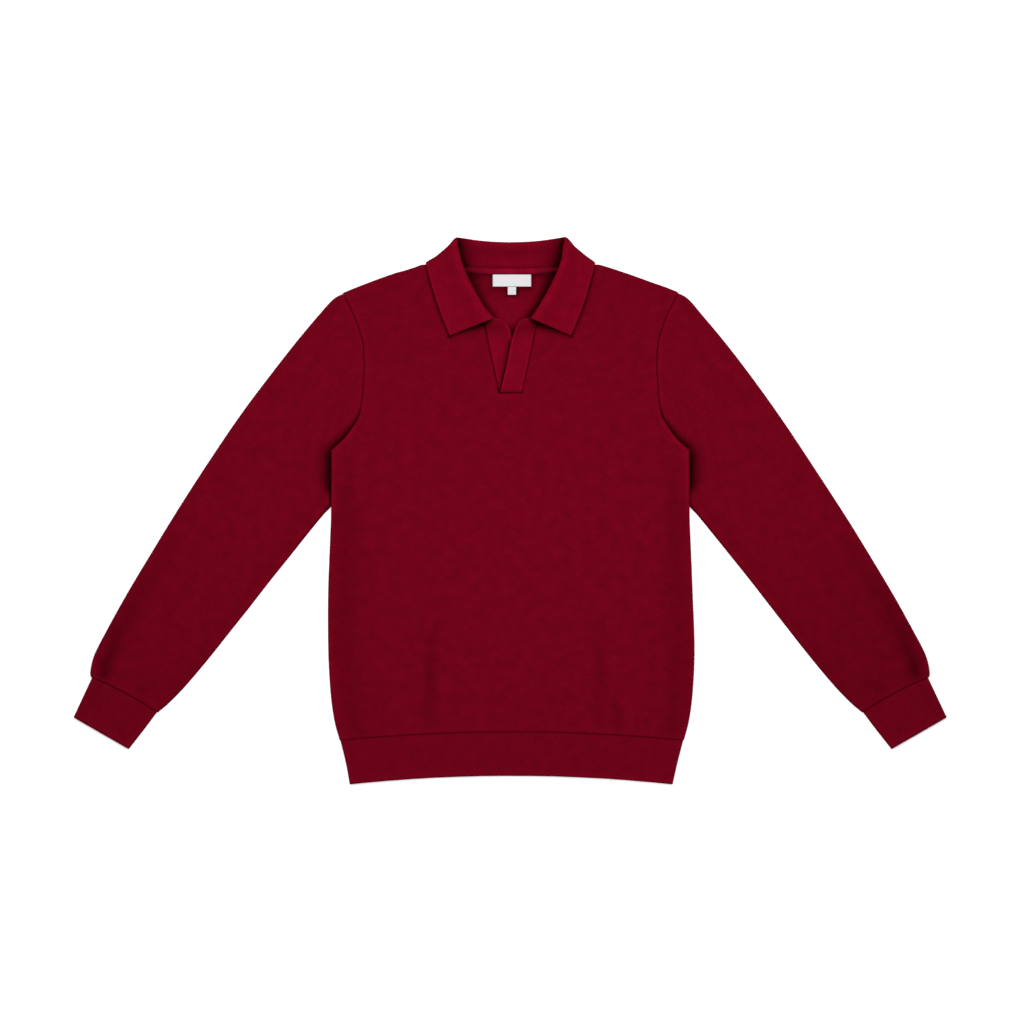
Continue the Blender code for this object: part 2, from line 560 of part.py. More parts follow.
def cuff(name, side):
    rows = numbers(CUFF_ROWS)
    first = np.linalg.norm(rows[0, :2] - rows[0, 2:4])
    ribs = round((first - 2 * FOLD_REACH) / RIB_PITCH)
    outer, inner = [], []
    for upper_x, upper_y, lower_x, lower_y, arch in rows:
        upper, lower = np.array([upper_x, upper_y]), np.array([lower_x, lower_y])
        axis = np.array([upper[1] - lower[1], lower[0] - upper[0]]) / np.linalg.norm(upper - lower)

        def line_at(share, upper=upper, lower=lower, axis=axis, arch=arch):
            line = upper + np.outer(share, lower - upper)
            return line - np.outer(4 * arch * share * (1 - share), axis)

        ring = ribbed_ring(line_at, np.linalg.norm(upper - lower), ribs, WALL)
        outer.append(ring[0])
        inner.append(ring[1])
    outer, inner = np.array(outer), np.array(inner)
    if side > 0:
        return tube(name, outer, inner, MATERIAL["rib"])
    return tube(name, mirrored(outer)[:, ::-1], mirrored(inner)[:, ::-1], MATERIAL["rib"])


def hem_band():
    rows = numbers(HEM_ROWS)
    ribs = round((2 * rows[0, 0] - 2 * FOLD_REACH) / RIB_PITCH)
    outer, inner = [], []
    for half_width, side_y, centre_y in rows:

        def line_at(share, half_width=half_width, side_y=side_y, centre_y=centre_y):
            x = half_width * (1 - 2 * share)
            return np.column_stack([x, centre_y + (side_y - centre_y) * (x / half_width) ** 2])

        ring = ribbed_ring(line_at, 2 * half_width, ribs, WALL)
        outer.append(ring[0])
        inner.append(ring[1])
    return tube("hem_band", np.array(outer), np.array(inner), MATERIAL["rib"])


# ---------------------------------------------------------------- collar, placket and trims
def collar_section(row):
    """One section of the collar on the middle of its cloth: up the stand, round the roll, down the leaf."""
    neck, roll, edge, turn = row[0:3], row[3:6], row[6:9], math.radians(row[9])
    up = flat_direction(roll - neck)
    back_up = flat_direction(roll - edge)
    outward = np.array([up[1], -up[0], 0.0])
    leaf_side = math.cos(turn) * outward + math.sin(turn) * np.array([0, 0, 1.0])
    centre = roll - flat_direction(up + back_up) * ROLL_RADIUS
    around = []
    for share in np.linspace(0, 1, ROLL_STEPS + 1):
        lead = flat_direction((1 - share) * up + share * back_up)
        angle = math.pi * share
        around.append(centre + ROLL_RADIUS * (math.sin(angle) * lead - math.cos(angle) * leaf_side))
    share = np.linspace(0, 1, STAND_STEPS + 1)[:-1, None]
    stand = neck + share * (around[0] - neck)
    share = np.linspace(0, 1, LEAF_STEPS + 1)[1:, None]
    leaf = around[-1] + share * (edge - around[-1])
    # The leaf keeps its height until it nears its edge, so that it lies over or under the panel.
    leaf[:, 2] = edge[2] + (around[-1][2] - edge[2]) * (1 - ease(share[:, 0]))
    return np.vstack([stand, around, leaf])


def flat_direction(vector):
    flat = np.array([vector[0], vector[1], 0.0])
    return flat / np.linalg.norm(flat)


def collar():
    half = np.array([collar_section(row) for row in numbers(COLLAR_ROWS)])
    grid = np.concatenate([half, mirrored(half)[::-1][1:]])
    return sheet("collar", grid, WALL, MATERIAL["trim"])


def placket(name, table, side):
    rows = np.array(table, float)
    share = np.linspace(0, 1, PLACKET_STEPS + 1)[:, None]
    grid = []
    for row in rows:
        seam, free, bow = row[0:3], row[3:6], row[6]
        line = seam + share * (free - seam)
        line[:, 1] += (4 * bow * share * (1 - share))[:, 0]
        grid.append(line)
    grid = np.array(grid)
    if side < 0:
        return sheet(name, mirrored(grid), WALL, MATERIAL["trim"])
    return sheet(name, grid[:, ::-1], WALL, MATERIAL["trim"])


def neck_tape():
    neck = np.array(BACK_NECK)
    x = np.linspace(-TAPE_HALF_LENGTH, TAPE_HALF_LENGTH, 17)
    fine = spline(neck, np.linspace(0, len(neck) - 1, 60))
    seam_y = np.interp(np.abs(x), fine[:, 0], fine[:, 1])
    rows = [np.column_stack([x, seam_y + step, np.full(len(x), TAPE_HEIGHT)]) for step in (-TAPE_BELOW, TAPE_ABOVE)]
    return sheet("neck_tape", np.array(rows), TRIM_WALL, MATERIAL["trim"])


def woven_label(name, half_width, bottom, top, columns):
    """A label made from the back panel's inner face, moved out by a gap and half its thickness."""
    x, y = np.meshgrid(np.linspace(-half_width, half_width, columns + 1), np.linspace(bottom, top, 5))
    z = back_height(x, y) + WALL / 2 + SEAM_GAP + LABEL_WALL / 2
    return sheet(name, np.dstack([x, y, z]), LABEL_WALL, MATERIAL["label"])


# ---------------------------------------------------------------- the sweater
def make_material(name, colour, roughness):
    made = bpy.data.materials.new(name)
    made.use_nodes = True
    shader = made.node_tree.nodes["Principled BSDF"]
    shader.inputs["Base Color"].default_value = colour
    shader.inputs["Roughness"].default_value = roughness
    shader.inputs["Metallic"].default_value = 0.0
    return made


for old in list(bpy.data.objects):
    bpy.data.objects.remove(old)
GARMENT = bpy.data.collections.new("polo_sweater")
bpy.context.scene.collection.children.link(GARMENT)
MATERIAL = {name: make_material(name, *look) for name, look in MATERIALS.items()}

front_panel()
back_panel()
sleeve("sleeve_left", 1)
sleeve("sleeve_right", -1)
cuff("cuff_left", 1)
cuff("cuff_right", -1)
hem_band()
collar()
placket("placket_left", PLACKET_TOP, 1)
placket("placket_right", PLACKET_UNDER, -1)
neck_tape()
woven_label("neck_label", LABEL_HALF_WIDTH, LABEL_BOTTOM, LABEL_TOP, 4)
woven_label("size_tab", TAB_HALF_WIDTH, TAB_BOTTOM, TAB_TOP, 2)
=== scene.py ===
"""The looks of a knitted polo sweater that lies flat on its back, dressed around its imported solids.

+Y runs from the hem to the collar, +X to the wearer's left and +Z up out of the front.
Tables and sizes are in millimetres, and MM turns them into Blender's metres. Shares run from 0 to 1.
Outlines are given for the wearer's left half (x above 0) and mirrored for the other one.
"""

import logging  # noqa: E402
import math  # noqa: E402
from dataclasses import dataclass, field  # noqa: E402
from enum import Enum  # noqa: E402

import bpy  # noqa: E402
import numpy as np  # noqa: E402
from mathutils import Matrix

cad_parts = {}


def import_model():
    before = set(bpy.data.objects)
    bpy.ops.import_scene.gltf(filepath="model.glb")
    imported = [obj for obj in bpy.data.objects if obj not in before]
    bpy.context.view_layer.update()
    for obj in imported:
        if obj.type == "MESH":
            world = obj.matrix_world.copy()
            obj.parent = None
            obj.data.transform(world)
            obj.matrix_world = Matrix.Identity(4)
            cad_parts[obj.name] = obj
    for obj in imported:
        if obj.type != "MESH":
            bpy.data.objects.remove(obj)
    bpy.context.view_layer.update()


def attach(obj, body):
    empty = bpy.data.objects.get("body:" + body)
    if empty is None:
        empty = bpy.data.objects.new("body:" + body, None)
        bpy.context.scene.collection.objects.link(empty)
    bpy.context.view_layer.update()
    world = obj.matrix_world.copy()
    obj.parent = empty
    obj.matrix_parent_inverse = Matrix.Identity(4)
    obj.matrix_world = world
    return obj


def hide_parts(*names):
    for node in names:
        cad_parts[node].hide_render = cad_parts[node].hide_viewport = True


LOG = logging.getLogger("polo_sweater")
MM = 0.001

WALL = 2.2  # one layer of the knit
BACK_MID = 1.1  # height of the middle of the back layer
FRONT_MID = 6.9  # height of the middle of the front layer
EDGE_DROP = 2.45  # how far each layer curves towards the other at an edge
BAND_DEPTH = 59.0  # depth of the cuffs, and very nearly that of the hem band
UNDERARM = (237.2, 79.0)  # the body's corner under the arm
NECK_POINT = (77.0, 337.0)  # where the shoulder's seam meets the neck
SHOULDER_POINT = (222.4, 288.0)  # where it meets the sleeve

# Rows run from the side or armhole (outer) to the centre, placket or neck (inner).
# bow arches a row, fold is the share of the side fold and dip that of the armhole's seam.
FRONT_ROWS = [  # outer x, outer y, inner x, inner y, bow, fold, dip
    (229.0, -305.0, 15.3, -293.8, 2.6, 1.0, 0.0),
    (235.9, -278.6, 15.3, -270.0, 2.0, 1.0, 0.0),
    (240.9, -241.4, 15.3, -236.0, 1.0, 1.0, 0.0),
    (243.7, -185.5, 15.3, -184.0, 0.0, 1.0, 0.0),
    (242.6, -111.1, 15.3, -111.0, 0.0, 1.0, 0.0),
    (239.7, -36.6, 15.3, -37.0, 0.0, 1.0, 0.0),
    (238.6, -12.0, 15.3, -12.0, 0.0, 1.0, 0.0),
    (238.0, 8.0, 15.3, 8.0, 0.0, 0.75, 0.0),
    (237.4, 44.0, 15.3, 44.0, 0.0, 0.6, 0.0),
    (237.3, 76.5, 15.3, 76.0, 0.0, 0.5, 0.0),
    (236.4, 80.2, 15.3, 79.6, 0.0, 0.5, 0.0),
    (218.4, 97.6, 15.3, 97.0, 0.0, 0.4, 0.3),
    (201.8, 122.0, 15.3, 121.0, 0.0, 0.3, 0.6),
    (198.4, 136.5, 15.3, 136.5, 0.0, 0.1, 0.8),
    (196.2, 156.5, 15.3, 156.5, 0.0, 0.0, 1.0),
    (193.9, 190.0, 22.5, 190.0, 0.0, 0.0, 1.0),
    (195.6, 223.0, 29.7, 223.0, 0.0, 0.0, 1.0),
    (203.5, 249.6, 35.3, 250.6, 0.0, 0.0, 1.0),
    (208.6, 261.0, 46.9, 262.5, 0.5, 0.0, 1.0),
    (213.0, 270.2, 59.7, 281.1, 1.3, 0.0, 1.0),
    (216.6, 277.0, 69.5, 302.7, 2.2, 0.0, 1.0),
    (219.3, 282.0, 75.4, 329.6, 2.8, 0.0, 1.0),
    (222.4, 288.0, 77.0, 337.0, 3.0, 0.0, 1.0),
]
PLACKET_ROW = 14  # the row of the front where the placket's opening starts
PLACKET_FOOT = 156.5  # how far up that row lies
BACK_ROWS = [
    (229.0, -305.0, 77.0, -295.1, 1.3, 1.0, 0.0),
    (235.9, -278.6, 77.0, -271.0, 0.8, 1.0, 0.0),
    (240.9, -241.4, 77.0, -237.0, 0.0, 1.0, 0.0),
    (243.7, -185.5, 77.0, -184.0, 0.0, 1.0, 0.0),
    (242.6, -111.1, 77.0, -111.0, 0.0, 1.0, 0.0),
    (239.7, -36.6, 77.0, -37.0, 0.0, 1.0, 0.0),
    (238.6, -12.0, 77.0, -12.0, 0.0, 0.8, 0.0),
    (238.0, 8.0, 77.0, 8.0, 0.0, 0.2, 0.0),
    (237.4, 44.0, 77.0, 44.0, 0.0, 0.0, 0.0),
    (237.2, 79.0, 77.0, 78.0, 0.0, 0.0, 0.0),
    (224.4, 98.7, 77.0, 98.0, 0.0, 0.0, 0.0),
    (209.5, 122.0, 77.0, 124.0, 0.0, 0.0, 0.0),
    (204.9, 136.5, 77.0, 141.0, 0.0, 0.0, 0.0),
    (201.0, 168.0, 77.0, 180.0, 0.0, 0.0, 0.0),
    (202.5, 217.0, 77.0, 235.0, 1.0, 0.0, 0.0),
    (209.6, 253.0, 77.0, 282.0, 2.0, 0.0, 0.0),
    (215.0, 271.0, 77.0, 305.0, 2.6, 0.0, 0.0),
    (219.3, 281.6, 77.0, 329.6, 2.9, 0.0, 0.0),
    (222.4, 288.0, 77.0, 337.0, 3.0, 0.0, 0.0),
]
BACK_NECK = [(0.0, 317.4), (26.0, 317.9), (50.0, 319.8), (66.0, 324.9), (77.0, 337.0)]
SLEEVE_ROWS = [  # upper edge x, y, lower edge x, y, share of the armhole's curve, arch
    (222.6, 288.0, 230.0, 18.0, 1.00, 0.0),
    (234.6, 281.4, 231.0, 16.5, 0.88, 0.0),
    (250.5, 264.5, 232.5, 13.5, 0.72, 0.0),
    (287.0, 221.0, 236.0, 8.5, 0.42, 0.0),
    (330.0, 165.0, 241.5, 1.5, 0.16, 0.0),
    (375.0, 101.7, 255.0, -13.5, 0.0, 0.0),
    (441.7, 0.7, 315.4, -87.5, 0.0, 0.0),
    (476.4, -55.2, 355.9, -139.4, 0.0, 0.0),
    (509.8, -111.1, 396.0, -190.5, 0.0, 0.0),
    (535.0, -156.5, 429.2, -230.3, 0.0, 0.5),
    (552.6, -191.0, 452.0, -254.2, 0.0, 1.8),
    (558.0, -213.0, 464.5, -265.0, 0.0, 2.8),
    (557.4, -220.8, 468.2, -268.2, 0.0, 3.2),
]
# The sleeve's edge from the armhole's seam down between the panels, where front and back lie together.
TUCKED_EDGE = [(217.0, 88.0), (225.5, 67.0), (229.0, 44.0), (230.0, 18.0)]
FRONT_TUCK = [(199.6, 120.0), (206.0, 104.0), *TUCKED_EDGE]
BACK_TUCK = [(206.5, 123.0), (209.5, 107.0), *TUCKED_EDGE]
CUFF_ROWS = [  # upper edge x, y, lower edge x, y, arch
    (556.0, -222.2, 469.6, -267.9, 3.2),
    (567.5, -247.0, 485.2, -288.8, 0.8),
    (580.3, -274.6, 507.0, -316.8, 0.0),
]
HEM_SEAM = ((0.0, -293.4), (60.0, -294.0), (120.0, -296.6), (180.0, -300.5), (229.0, -305.0))
HEM_ROWS = [  # half width, y at the side, y at the centre
    (228.0, -305.4, -294.1),
    (221.4, -334.0, -323.4),
    (215.4, -363.6, -352.2),
]
COLLAR_ROWS = [  # neck x, y, z, roll x, y, z, edge x, y, z, turn
    (34.9, 252.9, 6.9, 24.3, 254.6, 8.3, 80.3, 232.2, 9.8, 90),
    (40.5, 257.4, 6.9, 30.3, 261.4, 8.3, 83.9, 240.6, 9.8, 90),
    (46.5, 263.1, 6.9, 35.2, 268.2, 8.3, 87.5, 249.2, 9.8, 90),
    (53.0, 272.5, 6.9, 40.9, 277.3, 8.3, 91.2, 258.0, 9.8, 90),
    (58.9, 282.0, 6.9, 46.3, 286.5, 8.3, 94.5, 267.0, 9.8, 90),
    (64.3, 293.0, 6.9, 52.0, 296.7, 8.3, 98.0, 277.2, 9.8, 90),
    (68.6, 303.4, 6.9, 57.0, 306.8, 8.4, 101.3, 287.6, 9.8, 90),
    (71.1, 314.2, 6.9, 61.5, 317.0, 8.4, 104.4, 298.2, 9.8, 90),
    (73.3, 324.6, 6.8, 66.2, 329.0, 8.4, 107.4, 308.8, 9.8, 90),
    (75.0, 331.5, 6.7, 69.4, 343.0, 8.3, 110.0, 318.6, 9.8, 86),
    (75.3, 335.0, 6.4, 71.0, 353.4, 7.9, 111.6, 325.0, 9.2, 60),
    (75.1, 336.5, 5.9, 71.9, 359.4, 6.8, 111.9, 327.6, 7.6, 30),
    (74.6, 337.0, 5.3, 72.0, 361.4, 5.3, 112.0, 328.4, 5.4, 0),
    (73.4, 336.4, 4.7, 70.4, 361.6, 3.9, 111.2, 328.0, 2.9, -30),
    (71.2, 334.0, 4.2, 66.4, 361.0, 3.1, 109.2, 326.8, 1.3, -60),
    (66.4, 326.4, 3.9, 58.5, 359.7, 2.8, 103.0, 322.8, 1.1, -90),
    (55.0, 321.5, 3.7, 46.0, 357.5, 2.8, 83.0, 313.2, 1.1, -90),
    (38.0, 318.9, 3.7, 31.5, 355.8, 2.8, 56.0, 307.0, 1.1, -90),
    (19.0, 317.9, 3.7, 16.0, 354.8, 2.8, 28.0, 303.5, 1.1, -90),
    (0.0, 317.7, 3.7, 0.0, 354.4, 2.8, 0.0, 302.6, 1.1, -90),
]
PLACKET_TOP = [  # seam edge x, y, z, free edge x, y, z, bow
    (14.9, 156.9, 7.1, -13.0, 156.9, 8.5, 0.0),
    (22.1, 190.0, 7.1, -4.9, 190.0, 8.4, 0.0),
    (29.3, 223.0, 7.0, 1.6, 223.0, 8.1, 0.0),
    (32.6, 239.0, 6.9, 6.6, 240.0, 7.7, 0.6),
    (34.4, 248.0, 6.9, 10.8, 249.0, 7.4, 1.6),
    (34.3, 251.9, 6.9, 15.6, 253.4, 7.3, 2.4),
]
PLACKET_UNDER = [
    (14.9, 156.9, 5.5, -14.6, 156.9, 4.3, 0.0),
    (22.1, 190.0, 5.6, -6.7, 190.0, 4.5, 0.0),
    (29.3, 223.0, 6.0, -1.2, 223.0, 4.9, 0.0),
    (32.6, 239.0, 6.3, 1.6, 240.0, 5.5, 0.6),
    (34.4, 248.0, 6.5, 6.2, 249.0, 6.0, 1.6),
    (34.3, 251.9, 6.6, 11.6, 253.4, 6.2, 2.4),
]


# ---------------------------------------------------------------- curves and shares
def ease(value: np.ndarray) -> np.ndarray:
    """0 below 0, 1 above 1, and a smooth step between."""
    value = np.clip(value, 0.0, 1.0)
    return value * value * (3.0 - 2.0 * value)


def hump(value: np.ndarray, width: float) -> np.ndarray:
    """A soft bell that is 1 at 0 and fades over the width."""
    return np.exp(-((value / width) ** 2))


def spline(points: np.ndarray, at: np.ndarray) -> np.ndarray:
    """Reads the smooth curve through some points.

    Args:
        points: One row for each point that the curve passes through.
        at: Fractional point numbers.

    Returns:
        One row for each number in at.
    """
    points = np.asarray(points, float)
    at = np.asarray(at, float)
    padded = np.vstack([2 * points[0] - points[1], points, 2 * points[-1] - points[-2]])
    start = np.clip(at.astype(int), 0, len(points) - 2)
    t = (at - start)[:, None]
    a, b, c, d = (padded[start + k] for k in range(4))
    return 0.5 * (2 * b + (c - a) * t + (2 * a - 5 * b + 4 * c - d) * t**2 + (3 * b - a - 3 * c + d) * t**3)


def row_numbers(rows: np.ndarray, spacing: float) -> np.ndarray:
    """Places rows about a spacing apart along the outer ends of a table's rows.

    Args:
        rows: The table, with each row's outer x and y first.
        spacing: The distance wanted between rows.

    Returns:
        Fractional row numbers, from the first row to the last.
    """
    steps = np.linalg.norm(np.diff(rows[:, :2], axis=0), axis=1)
    found = [k + np.arange(n) / n for k, n in enumerate(np.maximum(1, np.ceil(steps / spacing)).astype(int))]
    return np.concatenate([*found, [len(rows) - 1]])


def travelled(points: np.ndarray) -> np.ndarray:
    """The distance along a line of points, at each of them."""
    return np.concatenate([[0.0], np.cumsum(np.linalg.norm(np.diff(points, axis=0), axis=1))])


def mirrored(points: np.ndarray) -> np.ndarray:
    """The points of the other half of the garment."""
    return points * np.array([-1.0, 1.0, 1.0])


def round_edge(distance: np.ndarray, reach: float) -> np.ndarray:
    """How far a rounded edge has dropped, as a share, at a distance in from it."""
    inside = np.clip(1 - distance / reach, 0, 1)
    return 1 - np.sqrt(np.clip(1 - inside**2, 0, 1))


def edge_steps(reach: float, count: int) -> np.ndarray:
    """Distances in from a rounded edge, closest together where it is steepest."""
    return reach * (1 - np.cos(np.linspace(0, math.pi / 2, count + 1)))


@dataclass(frozen=True)
class SeamRoll:
    """The cloth along a seam or an edge: a trough at the seam and a soft ridge beside it."""

    ridge: float
    ridge_place: float
    ridge_width: float
    trough: float
    trough_width: float

    def at(self, distance: np.ndarray) -> np.ndarray:
        """The height of the cloth at distances from the seam."""
        ridge = self.ridge * hump(distance - self.ridge_place, self.ridge_width)
        return ridge - self.trough * hump(distance, self.trough_width)


BODY_ARMHOLE_ROLL = SeamRoll(0.55, 4.0, 2.2, 0.8, 1.7)
SLEEVE_ARMHOLE_ROLL = SeamRoll(0.35, 4.5, 2.6, 0.7, 1.8)
HEM_SEAM_ROLL = SeamRoll(0.4, 4.0, 2.6, 0.7, 1.5)
CUFF_SEAM_ROLL = SeamRoll(0.6, 10.0, 5.0, 0.6, 2.4)
PLACKET_FOOT_ROLL = SeamRoll(0.4, -3.9, 2.4, 0.52, 1.4)
LEAF_EDGE_ROLL = SeamRoll(0.45, 3.2, 2.2, 0.35, 1.2)


# ---------------------------------------------------------------- relief of the cloth, and its painted shade and highlights
@dataclass(frozen=True)
class Crease:
    """A soft trough in the cloth, or a ridge where its depth is below 0."""

    start: tuple[float, float]
    end: tuple[float, float]
    half_width: float
    depth: float

    def at(self, x: np.ndarray, y: np.ndarray) -> np.ndarray:
        """Reads how deep the crease is.

        Args:
            x: Places across the garment.
            y: Places along it.

        Returns:
            The depth at each place.
        """
        (ax, ay), (bx, by) = self.start, self.end
        length = math.hypot(bx - ax, by - ay)
        ux, uy = (bx - ax) / length, (by - ay) / length
        along = (x - ax) * ux + (y - ay) * uy
        across = (y - ay) * ux - (x - ax) * uy
        # It fades in and out over half its length, from a fifth of it beyond each end.
        fade = ease((along + 0.2 * length) / (0.5 * length)) * ease((1.2 * length - along) / (0.5 * length))
        width = self.half_width * (0.6 + 0.4 * fade)
        return self.depth * fade * np.exp(-((across / width) ** 2))


@dataclass(frozen=True)
class Relief:
    """The creases of a piece and the slow waves of cloth that isn't quite flat."""

    creases: tuple[Crease, ...] = ()
    wave: float = 0.3
    phase: float = 0.0

    def at(self, x: np.ndarray, y: np.ndarray) -> np.ndarray:
        """Reads how far the cloth stands above its even form.

        Args:
            x: Places across the garment.
            y: Places along it.

        Returns:
            A height for each place.
        """
        p = self.phase
        slow = np.sin(x / 47 + y / 83 + p) * np.cos(y / 61 - x / 113 + 2 * p)
        quick = np.sin(x / 19 - y / 31 + 3 * p) * np.sin(y / 23 + x / 41 + p)
        total = self.wave * (0.7 * slow + 0.3 * quick)
        for crease in self.creases:
            total = total - crease.at(x, y)
        return total


@dataclass(frozen=True)
class Shade:
    """A soft band of painted shade along a line: dark where little light gets in, a painted highlight where
    its strength is below 0.
    """

    line: tuple[tuple[float, ...], ...]  # x, y, the band's width and the share of its strength, 1 if left out
    strength: float
    both_halves: bool = True

    def at(self, x: np.ndarray, y: np.ndarray) -> np.ndarray:
        """Reads how dark the band is.

        Args:
            x: Places across the garment.
            y: Places along it.

        Returns:
            A share from 0 to the band's strength for each place.
        """
        if self.both_halves:
            x = np.abs(x)
        near = np.zeros_like(x)
        points = [(*point, 1.0)[:4] for point in self.line]
        for (ax, ay, aw, a_share), (bx, by, bw, b_share) in zip(points, points[1:]):
            dx, dy = bx - ax, by - ay
            t = np.clip(((x - ax) * dx + (y - ay) * dy) / (dx * dx + dy * dy), 0, 1)
            away = np.hypot(x - ax - t * dx, y - ay - t * dy)
            width, share = aw + t * (bw - aw), a_share + t * (b_share - a_share)
            near = np.maximum(near, share * np.exp(-((away / width) ** 1.8)))
        return self.strength * near


def shaded(points: np.ndarray, shades: tuple[Shade, ...]) -> np.ndarray:
    """Reads the painted shade and highlights of each point of the cloth.

    Args:
        points: Points of the cloth.
        shades: The bands that darken or lighten it.

    Returns:
        1 in the open, less in folds and more along lit edges.
    """
    light = np.ones(points.shape[:-1])
    for shade in shades:
        light = light * (1 - shade.at(points[..., 0], points[..., 1]))
    return light


def beside(line: tuple[tuple[float, ...], ...], shift: float, width: float) -> tuple[tuple[float, ...], ...]:
    """A line moved across the garment and given an even width."""
    return tuple((x + shift, y, width) for x, y, *_ in line)


# Lines of the painted shade and highlight bands: x, y, the band's width and, where it isn't 1, the share of
# its strength.
LEAF_FRONT = ((22.0, 257.0, 5.5), (34.0, 251.2, 6.8), (58.0, 241.2, 5.0), (80.3, 232.2, 2.8))
LEAF_SIDE = (
    (80.3, 232.2, 2.6), (87.5, 249.2, 3.1), (94.5, 267.0, 3.1), (101.3, 287.6, 3.1), (107.4, 308.8, 2.8),
    (112.0, 328.4, 1.6),
)
LEAF_ROLL = (
    (24.0, 257.0, 5.0), (34.0, 268.2, 6.5), (45.0, 286.5, 9.0), (55.7, 306.8, 10.0), (65.0, 329.0, 9.0),
    (69.2, 347.0, 8.0), (71.0, 358.0, 5.0),
)
ARMHOLE = (
    (222.5, 288.0, 0.7), (216.7, 277.0, 0.9), (208.7, 261.0, 0.9), (203.6, 249.6, 0.9),
    (195.7, 223.0, 0.9), (194.0, 190.0, 0.9), (196.3, 156.5, 0.9), (198.5, 136.5, 0.9),
)
UNDERARM_FOLD = (
    (198.5, 136.5, 1.3), (202.6, 122.0, 2.8), (210.4, 110.0, 4.4), (220.6, 96.6, 6.4), (233.5, 84.0, 8.6),
    (239.5, 72.0, 11.0), (239.5, 55.0, 11.0), (239.5, 42.0, 11.0), (239.0, 33.0, 8.5),
    (238.6, 27.0, 5.5, 0.8),
)
UNDERARM_RIM = (
    (196.5, 133.0, 1.6, 0.2), (200.2, 119.5, 2.0), (215.8, 96.2, 2.2), (233.8, 77.6, 2.2),
    (235.2, 40.0, 2.2), (235.6, 0.0, 2.4, 0.7),
)
FRONT_SHADES = (
    # painted shadow under the collar's leaf
    Shade(LEAF_FRONT, 0.86),
    Shade(
        (
            (34.0, 248.6, 5.2), (44.0, 244.8, 4.6), (56.0, 240.8, 3.6, 0.6), (66.0, 237.0, 3.0, 0.2),
        ),
        0.85,
    ),
    Shade(LEAF_SIDE, 0.86),
    # painted shade in the armhole's seam and a painted highlight on the cloth beside it
    Shade(ARMHOLE, 0.62),
    Shade(beside(ARMHOLE, -3.4, 1.9), -0.10),
    # painted shade beside the placket and along its foot, and a painted highlight on the cloth below that
    Shade(((15.3, 156.5, 1.0), (22.5, 190.0, 1.0), (29.7, 223.0, 1.0), (35.3, 250.6, 1.4)), 0.75),
    Shade(((0.0, 156.0, 1.0), (15.3, 156.0, 1.0)), 0.66),
    Shade(((-6.0, 150.8, 2.4, 0.6), (6.0, 150.4, 2.4, 0.5), (15.0, 151.0, 2.6)), -0.13),
    # painted shade in the hem's seam
    Shade(beside(HEM_SEAM, 0.0, 0.8), 0.3),
    # painted shade on the side, where the cloth turns down
    Shade(
        (
            (210.0, -292.0, 13.0), (217.0, -240.0, 15.0), (221.0, -150.0, 16.0), (219.0, -60.0, 15.0),
            (216.0, 20.0, 13.0), (214.0, 66.0, 9.0, 0.5),
        ),
        0.17,
    ),
    # painted highlights on the rims: under the arm, down the side and above the hem
    Shade(UNDERARM_RIM, -0.24),
    Shade(
        (
            (235.6, 0.0, 2.4), (240.0, -111.0, 2.4), (241.0, -186.0, 2.4), (238.0, -241.0, 2.4),
            (227.0, -303.0, 2.0),
        ),
        -0.12,
    ),
    Shade(
        (
            (0.0, -290.2, 1.6), (60.0, -290.9, 1.6), (120.0, -293.5, 1.6), (180.0, -297.4, 1.6),
            (226.0, -301.6, 1.6),
        ),
        -0.10,
    ),
    # painted shade in the folds above the hem and in the dips beside them
    Shade(
        (
            (-91.0, -140.0, 7.0, 0.15), (-101.0, -156.0, 7.0, 0.5), (-108.0, -178.0, 7.0, 0.9),
            (-109.9, -215.0, 7.5), (-110.5, -255.0, 7.0, 0.9), (-110.0, -284.0, 8.0, 0.8),
        ),
        0.21,
        False,
    ),
    Shade(
        (
            (112.0, -150.0, 7.0, 0.2), (115.0, -180.0, 7.5, 0.8), (117.0, -215.0, 8.0),
            (116.0, -282.0, 7.0, 0.7),
        ),
        0.16,
        False,
    ),
    Shade(((134.0, -252.0, 6.0, 0.3), (139.5, -275.0, 6.5), (142.0, -290.0, 7.0)), 0.19, False),
    Shade(((-178.0, -230.0, 10.0, 0.5), (-186.0, -286.0, 12.0)), 0.07, False),
    Shade(((62.0, -262.0, 7.0, 0.4), (60.0, -288.0, 7.0)), 0.06, False),
    Shade(((-196.0, -40.0, 14.0, 0.5), (-206.0, -120.0, 14.0, 0.5)), 0.07, False),
)
